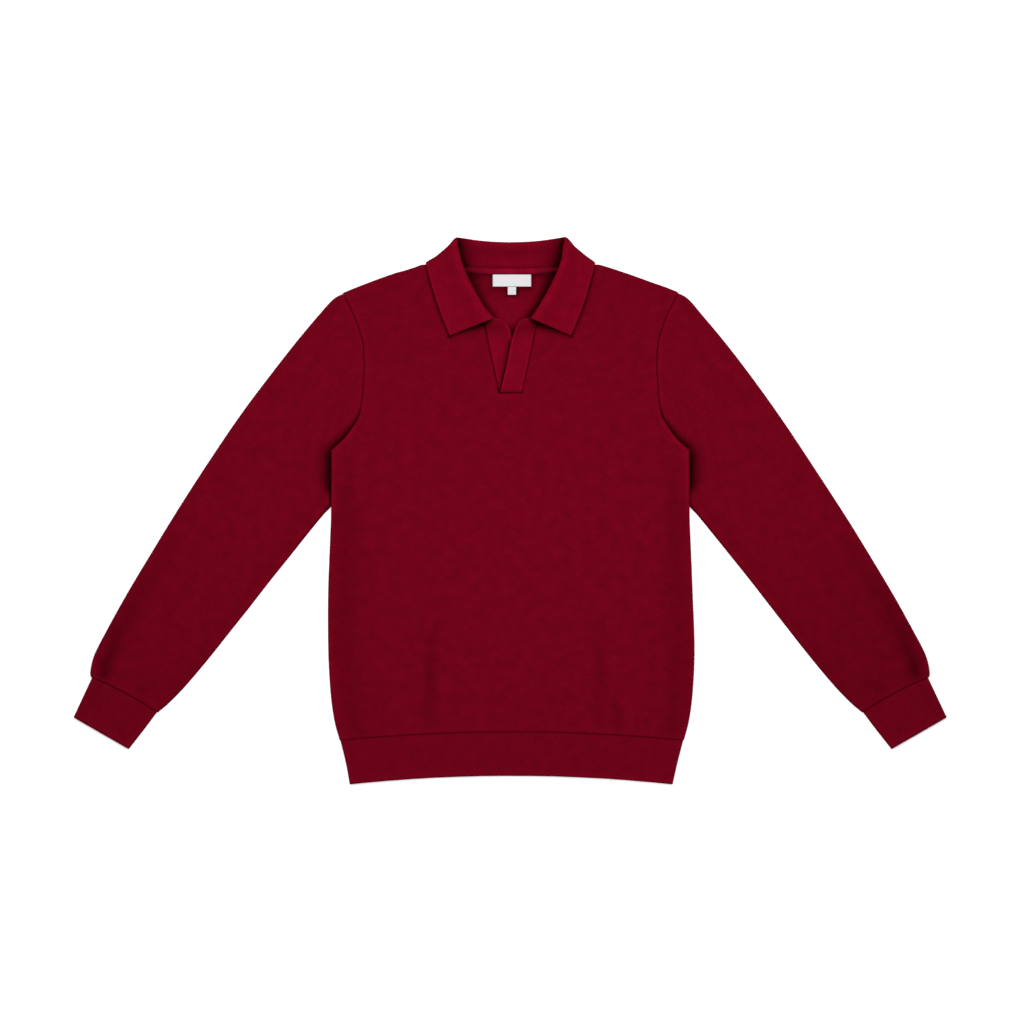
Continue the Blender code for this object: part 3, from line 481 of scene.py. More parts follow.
SLEEVE_SHADES = (
    # painted shade in the armhole's seam and in the deep fold under the arm
    Shade(ARMHOLE, 0.75),
    Shade(UNDERARM_FOLD, 0.88),
    Shade(((-238.8, 30.0, 4.5), (-238.4, 22.0, 3.2), (-238.5, 12.0, 2.2)), 0.85, False),
    Shade(((238.6, 27.0, 3.0), (238.5, 12.0, 2.0)), 0.45, False),
    # a painted highlight on the cloth beside the seam
    Shade(beside(ARMHOLE, 3.4, 1.9), -0.10),
    # painted shade in the long fold above the cuff, and a painted highlight on the puff beside it
    Shade(
        (
            (430.0, -20.0, 9.0, 0.0), (462.0, -66.0, 11.0, 0.35), (492.0, -110.0, 12.0, 0.6),
            (516.0, -153.0, 12.5, 0.8), (534.5, -197.0, 11.0), (540.0, -217.0, 9.0),
        ),
        0.31,
    ),
    Shade(((527.0, -176.0, 7.0, 0.2), (536.0, -203.0, 9.0), (539.5, -217.0, 8.0)), 0.22),
    Shade(((546.0, -172.0, 3.0, 0.3), (553.5, -194.0, 3.4), (555.5, -214.0, 3.4)), -0.24),
    # painted shade in the fold at the cuff's inner end, and painted shade darkening slowly towards the
    # wearer's left cuff
    Shade(((472.0, -228.0, 8.0, 0.5), (488.0, -238.0, 9.0)), 0.20),
    Shade(((400.0, -60.0, 90.0, 0.0), (470.0, -150.0, 90.0), (520.0, -230.0, 90.0)), 0.09, False),
    # painted shade on the sleeve's inner side, where the cloth turns down, and along its very edge
    Shade(((262.0, 0.0, 9.0), (330.0, -86.0, 10.0), (410.0, -190.0, 9.0), (450.0, -238.0, 8.0)), 0.08),
    Shade(((238.5, 10.0, 1.8), (246.0, -2.0, 1.8), (258.0, -16.5, 1.8), (290.0, -55.0, 1.6, 0.7)), 0.65),
    Shade(
        (
            (315.0, -87.0, 1.6, 0.8), (396.0, -190.5, 1.6), (429.0, -230.0, 1.7), (467.0, -267.6, 1.9),
        ),
        0.45,
    ),
    # painted highlights on the rims of the inner and outer sides
    Shade(
        (
            (243.0, 12.0, 3.0, 0.4), (263.0, -13.0, 3.0), (319.0, -83.0, 3.0), (400.0, -187.0, 3.0, 0.6),
        ),
        -0.10,
    ),
    Shade(
        (
            (224.0, 287.0, 1.8), (250.0, 263.6, 1.8), (329.0, 164.0, 1.8), (440.6, 0.0, 1.8),
            (534.0, -156.0, 1.8),
        ),
        -0.10,
    ),
    # painted shade in the cuff's seam and a painted highlight on the cloth above it
    Shade(
        (
            (556.5, -221.2, 0.9), (535.0, -230.0, 0.9), (513.0, -241.0, 0.9), (490.0, -254.0, 0.9),
            (468.0, -268.0, 0.9),
        ),
        0.45,
    ),
    Shade(((552.0, -219.0, 1.6), (511.0, -237.0, 1.6), (467.0, -263.0, 1.6)), -0.10),
)
BACK_SHADES = (
    # a painted highlight on the inside of the back, where light comes in through the neck
    Shade(((0.0, 262.0, 30.0), (0.0, 286.0, 34.0)), -0.08),
    # painted shadow under the collar's roll and in the placket's slit
    Shade(LEAF_ROLL, 0.85),
    Shade(
        (
            (-12.0, 246.0, 4.5, 0.7), (-4.0, 237.0, 7.5), (2.5, 226.0, 12.0), (8.0, 239.0, 7.5),
            (14.0, 250.0, 5.0, 0.8),
        ),
        0.95,
        False,
    ),
    # painted shadow under the neck tape
    Shade(((0.0, 314.0, 3.5), (30.0, 314.4, 4.5), (50.0, 314.0, 8.0), (62.0, 316.0, 12.0)), 0.55),
    # painted shadow round the two labels
    Shade(
        (
            (-24.2, 313.0, 2.4), (-24.2, 296.8, 2.6), (-4.0, 296.6, 2.8), (-4.2, 286.0, 2.4),
            (8.0, 286.0, 2.6), (8.0, 296.6, 2.8), (28.0, 296.8, 2.6), (28.0, 313.0, 2.4),
        ),
        0.75,
        False,
    ),
)
STRIP_SHADES = (
    # painted shadow under the collar's leaf
    Shade(((26.5, 253.8, 2.4), (30.0, 250.8, 4.4), (35.0, 248.2, 5.4), (45.0, 244.3, 4.6)), 0.95),
    Shade(((6.0, 236.0, 9.0, 0.3), (18.0, 243.0, 10.0), (30.0, 243.0, 10.0)), 0.30),
    # painted shade along the strip's seams
    Shade(((15.0, 156.5, 0.9), (22.2, 190.0, 0.9), (29.4, 223.0, 0.9), (34.5, 248.0, 1.2)), 0.7),
    Shade(((0.0, 156.4, 0.5), (15.0, 156.4, 0.5)), 0.3),
)
UNDER_STRIP_SHADES = (
    *STRIP_SHADES,
    # painted shadow under the upper strip's free edge
    Shade(((-13.2, 156.9, 3.6), (-5.3, 190.0, 4.4), (1.0, 223.0, 4.0), (4.2, 232.0, 1.8)), 0.95, False),
)
RIB_SHADES = (
    # painted shade in the seams of the hem and the cuffs
    Shade(
        (
            (0.0, -294.2, 0.8), (60.0, -294.9, 0.8), (120.0, -297.4, 0.8), (180.0, -301.2, 0.8),
            (228.0, -305.4, 0.8),
        ),
        0.35,
    ),
    Shade(
        (
            (556.0, -222.0, 0.8), (535.0, -230.6, 0.8), (513.0, -241.6, 0.8), (491.0, -254.6, 0.8),
            (469.6, -268.0, 0.8),
        ),
        0.4,
    ),
    # painted shade in the fold that runs on into the cuff
    Shade(((545.0, -232.0, 6.0), (556.0, -255.0, 8.0, 0.5)), 0.10),
    # painted shade along the ribs' free edges, each with a painted highlight on its rim
    Shade(((0.0, -352.2, 0.8), (108.0, -355.1, 0.8), (215.4, -363.4, 0.8)), 0.4),
    Shade(((0.0, -348.0, 2.2), (108.0, -351.0, 2.2), (213.0, -359.0, 2.2)), -0.09),
    Shade(((580.3, -274.6, 0.9), (507.0, -316.8, 0.9)), 0.55),
    Shade(((577.0, -271.6, 2.0), (506.0, -312.0, 2.0)), -0.09),
    # painted highlights and shade at the bands' ends, where the ribs turn under
    Shade(((224.0, -308.0, 2.4), (212.6, -360.0, 2.4)), -0.12),
    Shade(((557.0, -225.0, 2.4), (578.0, -271.0, 2.4)), -0.20),
    Shade(((470.5, -269.5, 1.2), (507.0, -316.0, 1.2)), 0.45),
    Shade(((475.0, -269.0, 1.6), (511.0, -315.0, 1.6)), -0.10),
)
FRONT_RELIEF = Relief(
    (
        Crease((-108.0, -165.0), (-110.0, -288.0), 7.5, 2.0),
        Crease((-88.0, -128.0), (-108.0, -176.0), 8.0, 0.7),
        Crease((-125.0, -180.0), (-124.0, -284.0), 8.0, -0.8),
        Crease((-94.0, -160.0), (-95.0, -280.0), 8.0, -0.7),
        Crease((114.0, -150.0), (117.0, -260.0), 7.5, 1.3),
        Crease((129.0, -180.0), (129.0, -250.0), 7.0, -0.6),
        Crease((136.0, -255.0), (142.0, -290.0), 7.5, 1.6),
        Crease((155.0, -250.0), (157.0, -286.0), 8.0, -0.6),
        Crease((-168.0, -225.0), (-164.0, -285.0), 9.0, 0.6),
        Crease((60.0, -240.0), (58.0, -286.0), 10.0, 0.5),
        Crease((-40.0, -246.0), (-41.0, -288.0), 12.0, 0.4),
        Crease((196.0, -230.0), (188.0, -288.0), 8.0, 0.6),
        Crease((218.0, 66.0), (150.0, 30.0), 14.0, 0.6),
        Crease((-218.0, 66.0), (-150.0, 30.0), 14.0, 0.6),
    ),
    phase=0.4,
)
UNDERARM_CREASE = Crease((262.0, 20.0), (300.0, 60.0), 16.0, 0.6)
LEFT_SLEEVE_CREASES = (
    Crease((520.0, -118.0), (546.0, -176.0), 8.0, 1.3),
    Crease((505.0, -150.0), (526.0, -200.0), 9.0, 0.6),
    Crease((470.0, -215.0), (492.0, -250.0), 9.0, 0.5),
    UNDERARM_CREASE,
)
RIGHT_SLEEVE_CREASES = (
    Crease((527.0, -150.0), (548.0, -196.0), 8.0, 1.2),
    Crease((500.0, -165.0), (520.0, -215.0), 9.0, 0.5),
    Crease((452.0, -225.0), (478.0, -256.0), 10.0, 0.5),
    UNDERARM_CREASE,
)


@dataclass(frozen=True)
class Layers:
    """Heights of the layers where the sleeves and the collar lie between or under the panels."""

    slope: tuple[float, float] = (0.805, 0.593)  # points out of the body across the lower armhole
    tuck_top: float = 158.0  # the tuck fades in below here
    tuck_full: float = 136.5  # and is full here
    tuck_bottom: float = 4.0  # it fades out below here
    tuck_fade: float = 28.0
    front_lift: float = 3.2  # how far the tucked sleeve raises the front
    collar_lift: float = 3.0  # how far the collar's leaf raises the back
    leaf_edge: tuple[tuple[float, float], ...] = (
        (0.0, 302.6),
        (28.5, 303.6),
        (58.0, 307.5),
        (88.0, 315.0),
        (107.0, 325.5),
    )
    leaf_end: float = 150.0
    leaf_end_fade: float = 34.0
    leaf_start: float = 20.0  # how far below the leaf's edge the panel starts to rise
    leaf_rise: float = 13.0

    def tuck(self, x: np.ndarray, y: np.ndarray, inside: float, outside: float) -> np.ndarray:
        """How far a place lies in the zone where the sleeve is tucked into the body.

        Args:
            x: Places across the garment.
            y: Places along it.
            inside: Width of the fade on the body's side of its edge.
            outside: Width of the fade on the other side.

        Returns:
            A share from 0 to 1 for each place.
        """
        out = np.abs(x) - UNDERARM[0]
        out = np.maximum(out, out * self.slope[0] + (y - UNDERARM[1]) * self.slope[1])
        along = ease((self.tuck_top - y) / (self.tuck_top - self.tuck_full))
        along = along * ease((y - self.tuck_bottom) / self.tuck_fade + 1)
        return along * ease((outside - out) / (outside * 0.8)) * ease((out + inside) / (inside * 0.6))

    def over_leaf(self, x: np.ndarray, y: np.ndarray) -> np.ndarray:
        """Reads how far the back panel is raised by the collar's leaf under it.

        Args:
            x: Places across the garment.
            y: Places along it.

        Returns:
            A height for each place.
        """
        across = np.abs(x)
        leaf_y = np.interp(across, *zip(*self.leaf_edge))
        side = ease((self.leaf_end - across) / self.leaf_end_fade)
        return self.collar_lift * side * ease((y - leaf_y + self.leaf_start) / self.leaf_rise)


LAYERS = Layers()


@dataclass(frozen=True)
class Nudge:
    """A small shift of the cloth from its even form, as it was laid, that fades out around its middle."""

    middle: tuple[float, float]
    reach: tuple[float, float]
    shift: tuple[float, float]

    def at(self, x: np.ndarray, y: np.ndarray) -> np.ndarray:
        """Reads how far the cloth is shifted.

        Args:
            x: Places across the garment.
            y: Places along it.

        Returns:
            The shift of each place, across and along the garment.
        """
        across = (x - self.middle[0]) / self.reach[0]
        along = (y - self.middle[1]) / self.reach[1]
        share = np.exp(-(across**4) - (along**4))
        return share[..., None] * np.array(self.shift)


NUDGES = (
    Nudge((0.0, -255.0), (330.0, 115.0), (2.3, 0.0)),  # the body above the hem, to the wearer's left
    Nudge((-205.0, -362.0), (60.0, 50.0), (1.0, 0.0)),
    Nudge((205.0, -362.0), (60.0, 50.0), (-0.8, 0.0)),
    Nudge((430.0, -100.0), (180.0, 260.0), (-1.7, 0.0)),  # the left sleeve, nearer to the body
    Nudge((-385.0, 85.0), (75.0, 95.0), (-1.2, 0.0)),  # the right sleeve, a little fuller
    Nudge((-320.0, -95.0), (60.0, 60.0), (1.0, 0.0)),
    Nudge((-92.0, 352.0), (15.0, 24.0), (0.0, -3.2)),  # the hollow beside the collar's roll
    Nudge((92.0, 352.0), (15.0, 24.0), (0.0, -1.5)),
    Nudge((74.0, 361.0), (9.0, 9.0), (1.3, 0.5)),
    Nudge((0.0, 357.0), (62.0, 15.0), (0.0, 1.1)),
    Nudge((222.0, 285.0), (28.0, 28.0), (0.0, 1.0)),
    Nudge((-134.0, 324.0), (14.0, 14.0), (0.0, -0.9)),
)


def laid(points: np.ndarray) -> np.ndarray:
    """The points as the garment was laid.

    Args:
        points: Points of the even form.

    Returns:
        The points with the small shifts of the cloth added.
    """
    moved = points.copy()
    for nudge in NUDGES:
        moved[..., :2] += nudge.at(points[..., 0], points[..., 1])
    return moved


# ---------------------------------------------------------------- finishes
Colour = tuple[float, float, float]


def scaled(colour: Colour, share: float) -> Colour:
    """A colour made darker, or lighter where the share is above 1."""
    return tuple(share * part for part in colour)


class Graph:
    """Adds shader nodes to one material and joins them up."""

    def __init__(self, name: str) -> None:
        """Starts a material with its Principled shader.

        Args:
            name: The material's name.
        """
        self.material = bpy.data.materials.new(name)
        self.material.use_nodes = True
        self.nodes = self.material.node_tree.nodes
        self.links = self.material.node_tree.links
        self.shader = self.nodes["Principled BSDF"]

    def put(self, value: object, socket: bpy.types.NodeSocket) -> None:
        """Links a socket to another node's output, or sets its value.

        Args:
            value: An output socket, or a plain value.
            socket: The input socket.
        """
        if isinstance(value, bpy.types.NodeSocket):
            self.links.new(value, socket)
        else:
            socket.default_value = value

    def math(self, operation: str, *values: object) -> bpy.types.NodeSocket:
        """Adds a Math node.

        Args:
            operation: What it does, by Blender's name.
            *values: Output sockets or numbers, in the order of its inputs.

        Returns:
            Its result.
        """
        node = self.nodes.new("ShaderNodeMath")
        node.operation = operation
        for value, socket in zip(values, node.inputs):
            self.put(value, socket)
        return node.outputs[0]

    def wave(self, turns: bpy.types.NodeSocket) -> bpy.types.NodeSocket:
        """The sine of a number of whole turns."""
        return self.math("SINE", self.math("MULTIPLY", turns, 2 * math.pi))

    def clamped(self, value: bpy.types.NodeSocket) -> bpy.types.NodeSocket:
        """A value kept between 0 and 1."""
        return self.math("MINIMUM", self.math("MAXIMUM", value, 0.0), 1.0)

    def noise(self, place: bpy.types.NodeSocket, scale: float, detail: float = 2.0) -> bpy.types.NodeSocket:
        """Adds a Noise node.

        Args:
            place: Where it is read.
            scale: How many of its cells there are to a unit of place.
            detail: How many finer layers it has.

        Returns:
            Its value.
        """
        node = self.nodes.new("ShaderNodeTexNoise")
        self.put(place, node.inputs["Vector"])
        node.inputs["Scale"].default_value = scale
        node.inputs["Detail"].default_value = detail
        return node.outputs["Fac"]

    def stretched(self, place: bpy.types.NodeSocket, across: float) -> bpy.types.NodeSocket:
        """Scales the first part of a place, so that a noise read there runs in streaks.

        Args:
            place: The place.
            across: The scale of its first part.

        Returns:
            The scaled place.
        """
        node = self.nodes.new("ShaderNodeVectorMath")
        node.operation = "MULTIPLY"
        self.links.new(place, node.inputs[0])
        node.inputs[1].default_value = (across, 1.0, 1.0)
        return node.outputs[0]

    def cloth_place(self) -> tuple[bpy.types.NodeSocket, bpy.types.NodeSocket, bpy.types.NodeSocket]:
        """Reads the place on the cloth from its UV map.

        Returns:
            The pair in metres, then its part across the cloth and its part along it.
        """
        uv = self.nodes.new("ShaderNodeUVMap")
        uv.uv_map = "cloth"
        split = self.nodes.new("ShaderNodeSeparateXYZ")
        self.links.new(uv.outputs[0], split.inputs[0])
        return uv.outputs[0], split.outputs[0], split.outputs[1]

    def tint(self, factor: bpy.types.NodeSocket, dark: Colour, light: Colour) -> bpy.types.NodeSocket:
        """Mixes two colours.

        Args:
            factor: 0 for the dark one and 1 for the light one.
            dark: The dark colour.
            light: The light colour.

        Returns:
            The mixed colour.
        """
        node = self.nodes.new("ShaderNodeMix")
        node.data_type = "RGBA"
        self.put(factor, node.inputs[0])
        node.inputs[6].default_value = (*dark, 1.0)
        node.inputs[7].default_value = (*light, 1.0)
        return node.outputs[2]

    def shaded(self, colour: bpy.types.NodeSocket) -> bpy.types.NodeSocket:
        """Paints shade into a colour in the cloth's folds, and highlights along lit edges, on faces that
        don't look down.

        Args:
            colour: The colour in the open.

        Returns:
            The colour times the mesh's "shade" value.
        """
        place = self.nodes.new("ShaderNodeAttribute")
        place.attribute_name = "shade"
        face = self.nodes.new("ShaderNodeNewGeometry")
        split = self.nodes.new("ShaderNodeSeparateXYZ")
        self.links.new(face.outputs["Normal"], split.inputs[0])
        under = self.clamped(self.math("MULTIPLY_ADD", split.outputs[2], -3.0, -0.6))
        missing = self.math("SUBTRACT", 1.0, place.outputs["Fac"])
        share = self.math("MULTIPLY_ADD", missing, under, place.outputs["Fac"])
        node = self.nodes.new("ShaderNodeVectorMath")
        node.operation = "SCALE"
        self.links.new(colour, node.inputs[0])
        self.links.new(share, node.inputs["Scale"])
        return node.outputs[0]

    def bump(self, height: bpy.types.NodeSocket, strength: float, distance: float) -> None:
        """Raises the surface by a height.

        Args:
            height: The height.
            strength: How much of it is felt.
            distance: What a height of 1 stands for, in metres.
        """
        node = self.nodes.new("ShaderNodeBump")
        node.inputs["Strength"].default_value = strength
        node.inputs["Distance"].default_value = distance
        self.links.new(height, node.inputs["Height"])
        self.links.new(node.outputs[0], self.shader.inputs["Normal"])

    def surface(self, colour: object, roughness: float, specular: float) -> bpy.types.Material:
        """Sets the shader's colour and gloss.

        Args:
            colour: An output socket, or a colour with its alpha.
            roughness: How rough it is.
            specular: How much it mirrors.

        Returns:
            The material.
        """
        self.put(colour, self.shader.inputs["Base Color"])
        self.shader.inputs["Roughness"].default_value = roughness
        self.shader.inputs["Specular IOR Level"].default_value = specular
        return self.material


class Stitch(Enum):
    """How the yarn is knitted."""

    DOUBLE = "double"
    RIB = "rib"
    PLAIN = "plain"


@dataclass(frozen=True)
class KnitFinish:
    """A matte wine-red knit: loops, the cloudy dye of its yarn, a little nap, painted shade in its grooves,
    and the mesh's painted shade and highlights.
    """

    name: str
    slot: str
    stitch: Stitch
    colour: Colour
    wale: float = 1.7  # width of a column of loops
    course: float = 1.3  # height of a row of loops
    cell: tuple[float, float] = (4.4, 2.7)  # width and height of a double knit's small diamonds
    bump: float = 0.5
    cloud: float = 0.40  # how much of the colour's change is slow and cloudy
    yarn: float = 0.85  # how much of it the clouds and the flecks of the yarn make up together
    streak: float = 0.15
    # the knit's pattern in the colour, with painted shade in the grooves between its loops and cells
    loop_shade: float = 0.12
    cell_shade: float = 0.10
    darkest: float = 0.76
    lightest: float = 1.22
    sheen: float = 0.10

    def material(self) -> bpy.types.Material:
        """Builds the finish.

        Returns:
            The knit as a material.
        """
        g = Graph(self.name)
        place, across, along = g.cloth_place()
        column = g.math("DIVIDE", across, self.wale * MM)
        row = g.math("DIVIDE", along, self.course * MM)
        leg = g.math("ABSOLUTE", g.math("SUBTRACT", g.math("FRACT", column), 0.5))
        slant = g.math("ADD", row, leg)
        loops = g.math("MULTIPLY", g.wave(leg), g.math("MULTIPLY_ADD", g.wave(slant), 0.35, 0.65))
        height = loops
        if self.stitch is Stitch.DOUBLE:
            cell_across = g.math("DIVIDE", across, self.cell[0] * MM)
            cell_along = g.math("DIVIDE", along, self.cell[1] * MM)
            right = g.wave(g.math("ADD", cell_across, cell_along))
            left = g.wave(g.math("SUBTRACT", cell_across, cell_along))
            cells = g.math("MULTIPLY", g.math("ADD", right, left), 0.5)
            height = g.math("MULTIPLY_ADD", cells, 0.45, loops)
        nap = g.noise(place, 900.0)
        g.bump(g.math("MULTIPLY_ADD", nap, 0.5, height), self.bump, 0.6 * MM)
        cloud = g.noise(place, 62.0, 5.0)
        streak = g.noise(g.stretched(place, 0.5), 210.0)
        fleck = g.noise(place, 560.0)
        shade = g.math("MULTIPLY_ADD", cloud, self.cloud, g.math("MULTIPLY", fleck, self.yarn - self.cloud))
        shade = g.math("MULTIPLY_ADD", streak, self.streak, shade)
        # painted shade: the grooves between the loops and the cells are darker
        shade = g.math("MULTIPLY_ADD", loops, self.loop_shade, shade)
        if self.stitch is Stitch.DOUBLE:
            shade = g.math("MULTIPLY_ADD", cells, self.cell_shade, shade)
        shade = g.clamped(g.math("MULTIPLY", g.math("SUBTRACT", shade, 0.37), 3.0))
        colour = g.tint(shade, scaled(self.colour, self.darkest), scaled(self.colour, self.lightest))
        g.shader.inputs["Sheen Weight"].default_value = self.sheen
        g.shader.inputs["Sheen Roughness"].default_value = 0.45
        g.shader.inputs["Sheen Tint"].default_value = (0.9, 0.06, 0.14, 1.0)
        # the mesh's painted shade and highlights are multiplied into the colour
        return g.surface(g.shaded(colour), 0.95, 0.0)


@dataclass(frozen=True)
class RibbonFinish:
    """A white woven ribbon: fine weft ribs and a soft satin face."""

    name: str
    slot: str
    colour: Colour
    weft: float = 0.45
    warp: float = 0.63

    def material(self) -> bpy.types.Material:
        """Builds the finish.

        Returns:
            The ribbon as a material.
        """
        g = Graph(self.name)
        place, across, along = g.cloth_place()
        weft = g.wave(g.math("DIVIDE", along, self.weft * MM))
        warp = g.wave(g.math("DIVIDE", across, self.warp * MM))
        weave = g.math("MULTIPLY_ADD", warp, 0.4, weft)
        g.bump(weave, 0.35, 0.1 * MM)
        shade = g.math("MULTIPLY_ADD", g.noise(place, 300.0), 0.5, g.math("MULTIPLY", weave, 0.1))
        return g.surface(g.tint(shade, scaled(self.colour, 0.93), self.colour), 0.6, 0.2)


@dataclass(frozen=True)
class YarnFinish:
    """The darker yarn of the linking and stitching."""

    name: str
    slot: str
    colour: Colour

    def material(self) -> bpy.types.Material:
        """Builds the finish.

        Returns:
            The yarn as a material.
        """
        g = Graph(self.name)
        place = g.nodes.new("ShaderNodeTexCoord")
        twist = g.noise(place.outputs["Object"], 2500.0)
        g.bump(twist, 0.4, 0.1 * MM)
        return g.surface(g.tint(twist, scaled(self.colour, 0.7), self.colour), 0.9, 0.05)


# ---------------------------------------------------------------- meshes
def added(name: str, data: bpy.types.ID) -> bpy.types.Object:
    """Puts a new object in the scene.

    Args:
        name: Its name.
        data: Its mesh, curve, lamp or camera.

    Returns:
        The new object.
    """
    made = bpy.data.objects.new(name, data)
    bpy.context.scene.collection.objects.link(made)
    return made


@dataclass
class Cut:
    """The flat size of a piece of cloth before it was sewn, in millimetres."""

    width: float
    length: float
    share: float = 1.0  # how much of that rectangle the piece fills
    rests_on: tuple[str, ...] = ()


@dataclass
class ClothPiece:
    """One piece of cloth: a grid of points with the place of each on the cloth."""

    name: str
    replaces: str
    grid: np.ndarray
    cloth: np.ndarray
    finish: KnitFinish | RibbonFinish
    cut: Cut
    closed: bool = False
    skip: set[tuple[int, int]] = field(default_factory=set)
    wall: float = WALL
    # painted shade and highlights: the piece's bands, and a share for each point
    shades: tuple[Shade, ...] = ()
    light: np.ndarray | None = None

    def quads(self) -> np.ndarray:
        """Lists the grid's faces, without the skipped ones.

        Returns:
            Rows of four point numbers.
        """
        rows, columns = self.grid.shape[:2]
        r = np.arange(rows - 1)[:, None]
        c = np.arange(columns if self.closed else columns - 1)[None, :]
        after = (c + 1) % columns
        corners = ((r, c), (r, after), (r + 1, after), (r + 1, c))
        faces = np.stack(np.broadcast_arrays(*(row * columns + column for row, column in corners)), -1)
        keep = np.ones(faces.shape[:2], bool)
        for row, column in self.skip:
            keep[row, column] = False
        return faces[keep].reshape(-1, 4)

    def build(self, materials: dict[str, bpy.types.Material]) -> bpy.types.Object:
        """Makes the piece, dresses it and sets it on the frame.

        Args:
            materials: Finished materials by name.

        Returns:
            The new object.
        """
        quads = self.quads()
        used, index = np.unique(quads, return_inverse=True)
        quads = index.reshape(-1, 4)
        points = laid(self.grid.reshape(-1, 3)[used]) * MM
        mesh = bpy.data.meshes.new(self.name)
        mesh.from_pydata(points.tolist(), [], quads.tolist())
        layer = mesh.uv_layers.new(name="cloth")
        cloth = self.cloth.reshape(-1, 2)[used] * MM
        if self.closed:
            self.unwrap_ring(layer, quads, cloth)
        else:
            layer.data.foreach_set("uv", cloth[quads.ravel()].ravel())
        # painted shade and highlights, which the material reads from the mesh's shade attribute
        light = shaded(self.grid, self.shades)
        if self.light is not None:
            light = light * self.light
        shade = mesh.attributes.new("shade", "FLOAT", "POINT")
        shade.data.foreach_set("value", light.reshape(-1)[used])
        mesh.materials.append(materials[self.finish.name])
        mesh.shade_smooth()
        made = added(self.name, mesh)
        thick = made.modifiers.new("Cloth", "SOLIDIFY")
        thick.thickness = self.wall * MM
        thick.offset = 0.0
        thick.use_even_offset = False
        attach(made, "root")
        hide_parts(self.replaces)
        LOG.info("%s: %d faces", self.name, len(quads))
        return made

    def unwrap_ring(self, layer: bpy.types.MeshUVLoopLayer, quads: np.ndarray, cloth: np.ndarray) -> None:
        """Lays out a closed ring's faces so that the last column doesn't run back across the map.

        Args:
            layer: The mesh's map.
            quads: The faces.
            cloth: The place of each point on the cloth, in metres.
        """
        uv = cloth[quads]
        span = cloth[:, 0].max() - cloth[:, 0].min()
        wrapped = uv[..., 0].max(1) - uv[..., 0].min(1) > span / 2
        low = uv[..., 0] < cloth[:, 0].min() + span / 2
        uv[..., 0] = np.where(wrapped[:, None] & low, uv[..., 0] + span, uv[..., 0])
        layer.data.foreach_set("uv", uv.reshape(-1))


# ---------------------------------------------------------------- the body
@dataclass
class BodyPanel:
    """What the front and the back share: rows from the hem to the shoulder, read closely."""

    rows: list[tuple[float, ...]]
    spacing: float = 3.6
    even_width: float = 226.0  # width that the evenly spaced columns are counted for
    side_reach: float = 13.0
    side_count: int = 8
    shoulder_reach: float = 5.5
    shoulder_count: int = 7
    pinch: float = 2.4  # how far the collar presses the shoulder in
    pinch_fades: tuple[float, ...] = (84.0, 94.0, 108.0, 120.0)  # where it starts, is full and ends
    pinch_depth: float = 25.0
    extra_rows: tuple[float, ...] = (0.03, 0.07, 0.12)  # close rows at the hem's seam
    extra_columns: tuple[float, ...] = (0.0025, 0.006, 0.011)  # and beside the inner edge

    def half(self) -> tuple[np.ndarray, dict[str, np.ndarray], np.ndarray]:
        """Reads the plan of the wearer's left half.

        Returns:
            The plan, the distances and shares that shape its height, and each row's number.
        """
        rows = np.array(self.rows, float)
        at = np.sort(np.concatenate([row_numbers(rows, self.spacing), self.extra_rows]))
        last = len(rows) - 2
        length = np.linalg.norm(rows[-1, :2] - rows[-2, :2])
        steps = edge_steps(self.shoulder_reach, self.shoulder_count)[::-1]
        at = np.concatenate([at[at < last], [last], last + 1 - steps / length])
        read = spline(rows, at)
        even = np.linspace(0, 1, int(self.even_width / self.spacing))
        even = np.sort(np.concatenate([self.extra_columns, even]))
        ends = edge_steps(self.side_reach, self.side_count)[::-1]
        plan, place = [], {key: [] for key in ("side", "fold", "dip", "shoulder")}
        for number, (outer_x, outer_y, inner_x, inner_y, bow, fold, dip) in zip(at, read):
            width = math.hypot(outer_x - inner_x, outer_y - inner_y)
            edge = width - fold * WALL / 2
            across = np.concatenate([even[:-1] * (edge - self.side_reach), edge - ends])
            share = across / width
            x = inner_x + share * (outer_x - inner_x)
            y = inner_y + share * (outer_y - inner_y) + 4 * bow * share * (1 - share)
            plan.append(np.column_stack([x, y]))
            place["side"].append(edge - across)
            place["fold"].append(np.full(len(x), np.clip(fold, 0, 1)))
            place["dip"].append(np.full(len(x), np.clip(dip, 0, 1)))
            near = np.clip((last + 1 - number) * length, 0, self.shoulder_reach)
            place["shoulder"].append(np.full(len(x), near if number > last - 1 else self.shoulder_reach))
        return self.pressed(np.array(plan)), {k: np.array(v) for k, v in place.items()}, at

    def pressed(self, plan: np.ndarray) -> np.ndarray:
        """Presses the shoulder in where the collar folds round it.

        Args:
            plan: Places of the wearer's left half, which are moved.

        Returns:
            The same places.
        """
        start, full, end_full, end = self.pinch_fades
        x, y = plan[..., 0], plan[..., 1]
        shoulder_y = np.interp(x, *zip(NECK_POINT, SHOULDER_POINT))
        along = ease((x - start) / (full - start)) * ease((end - x) / (end - end_full))
        plan[..., 1] -= self.pinch * along * ease((y - shoulder_y + self.pinch_depth) / self.pinch_depth)
        return plan


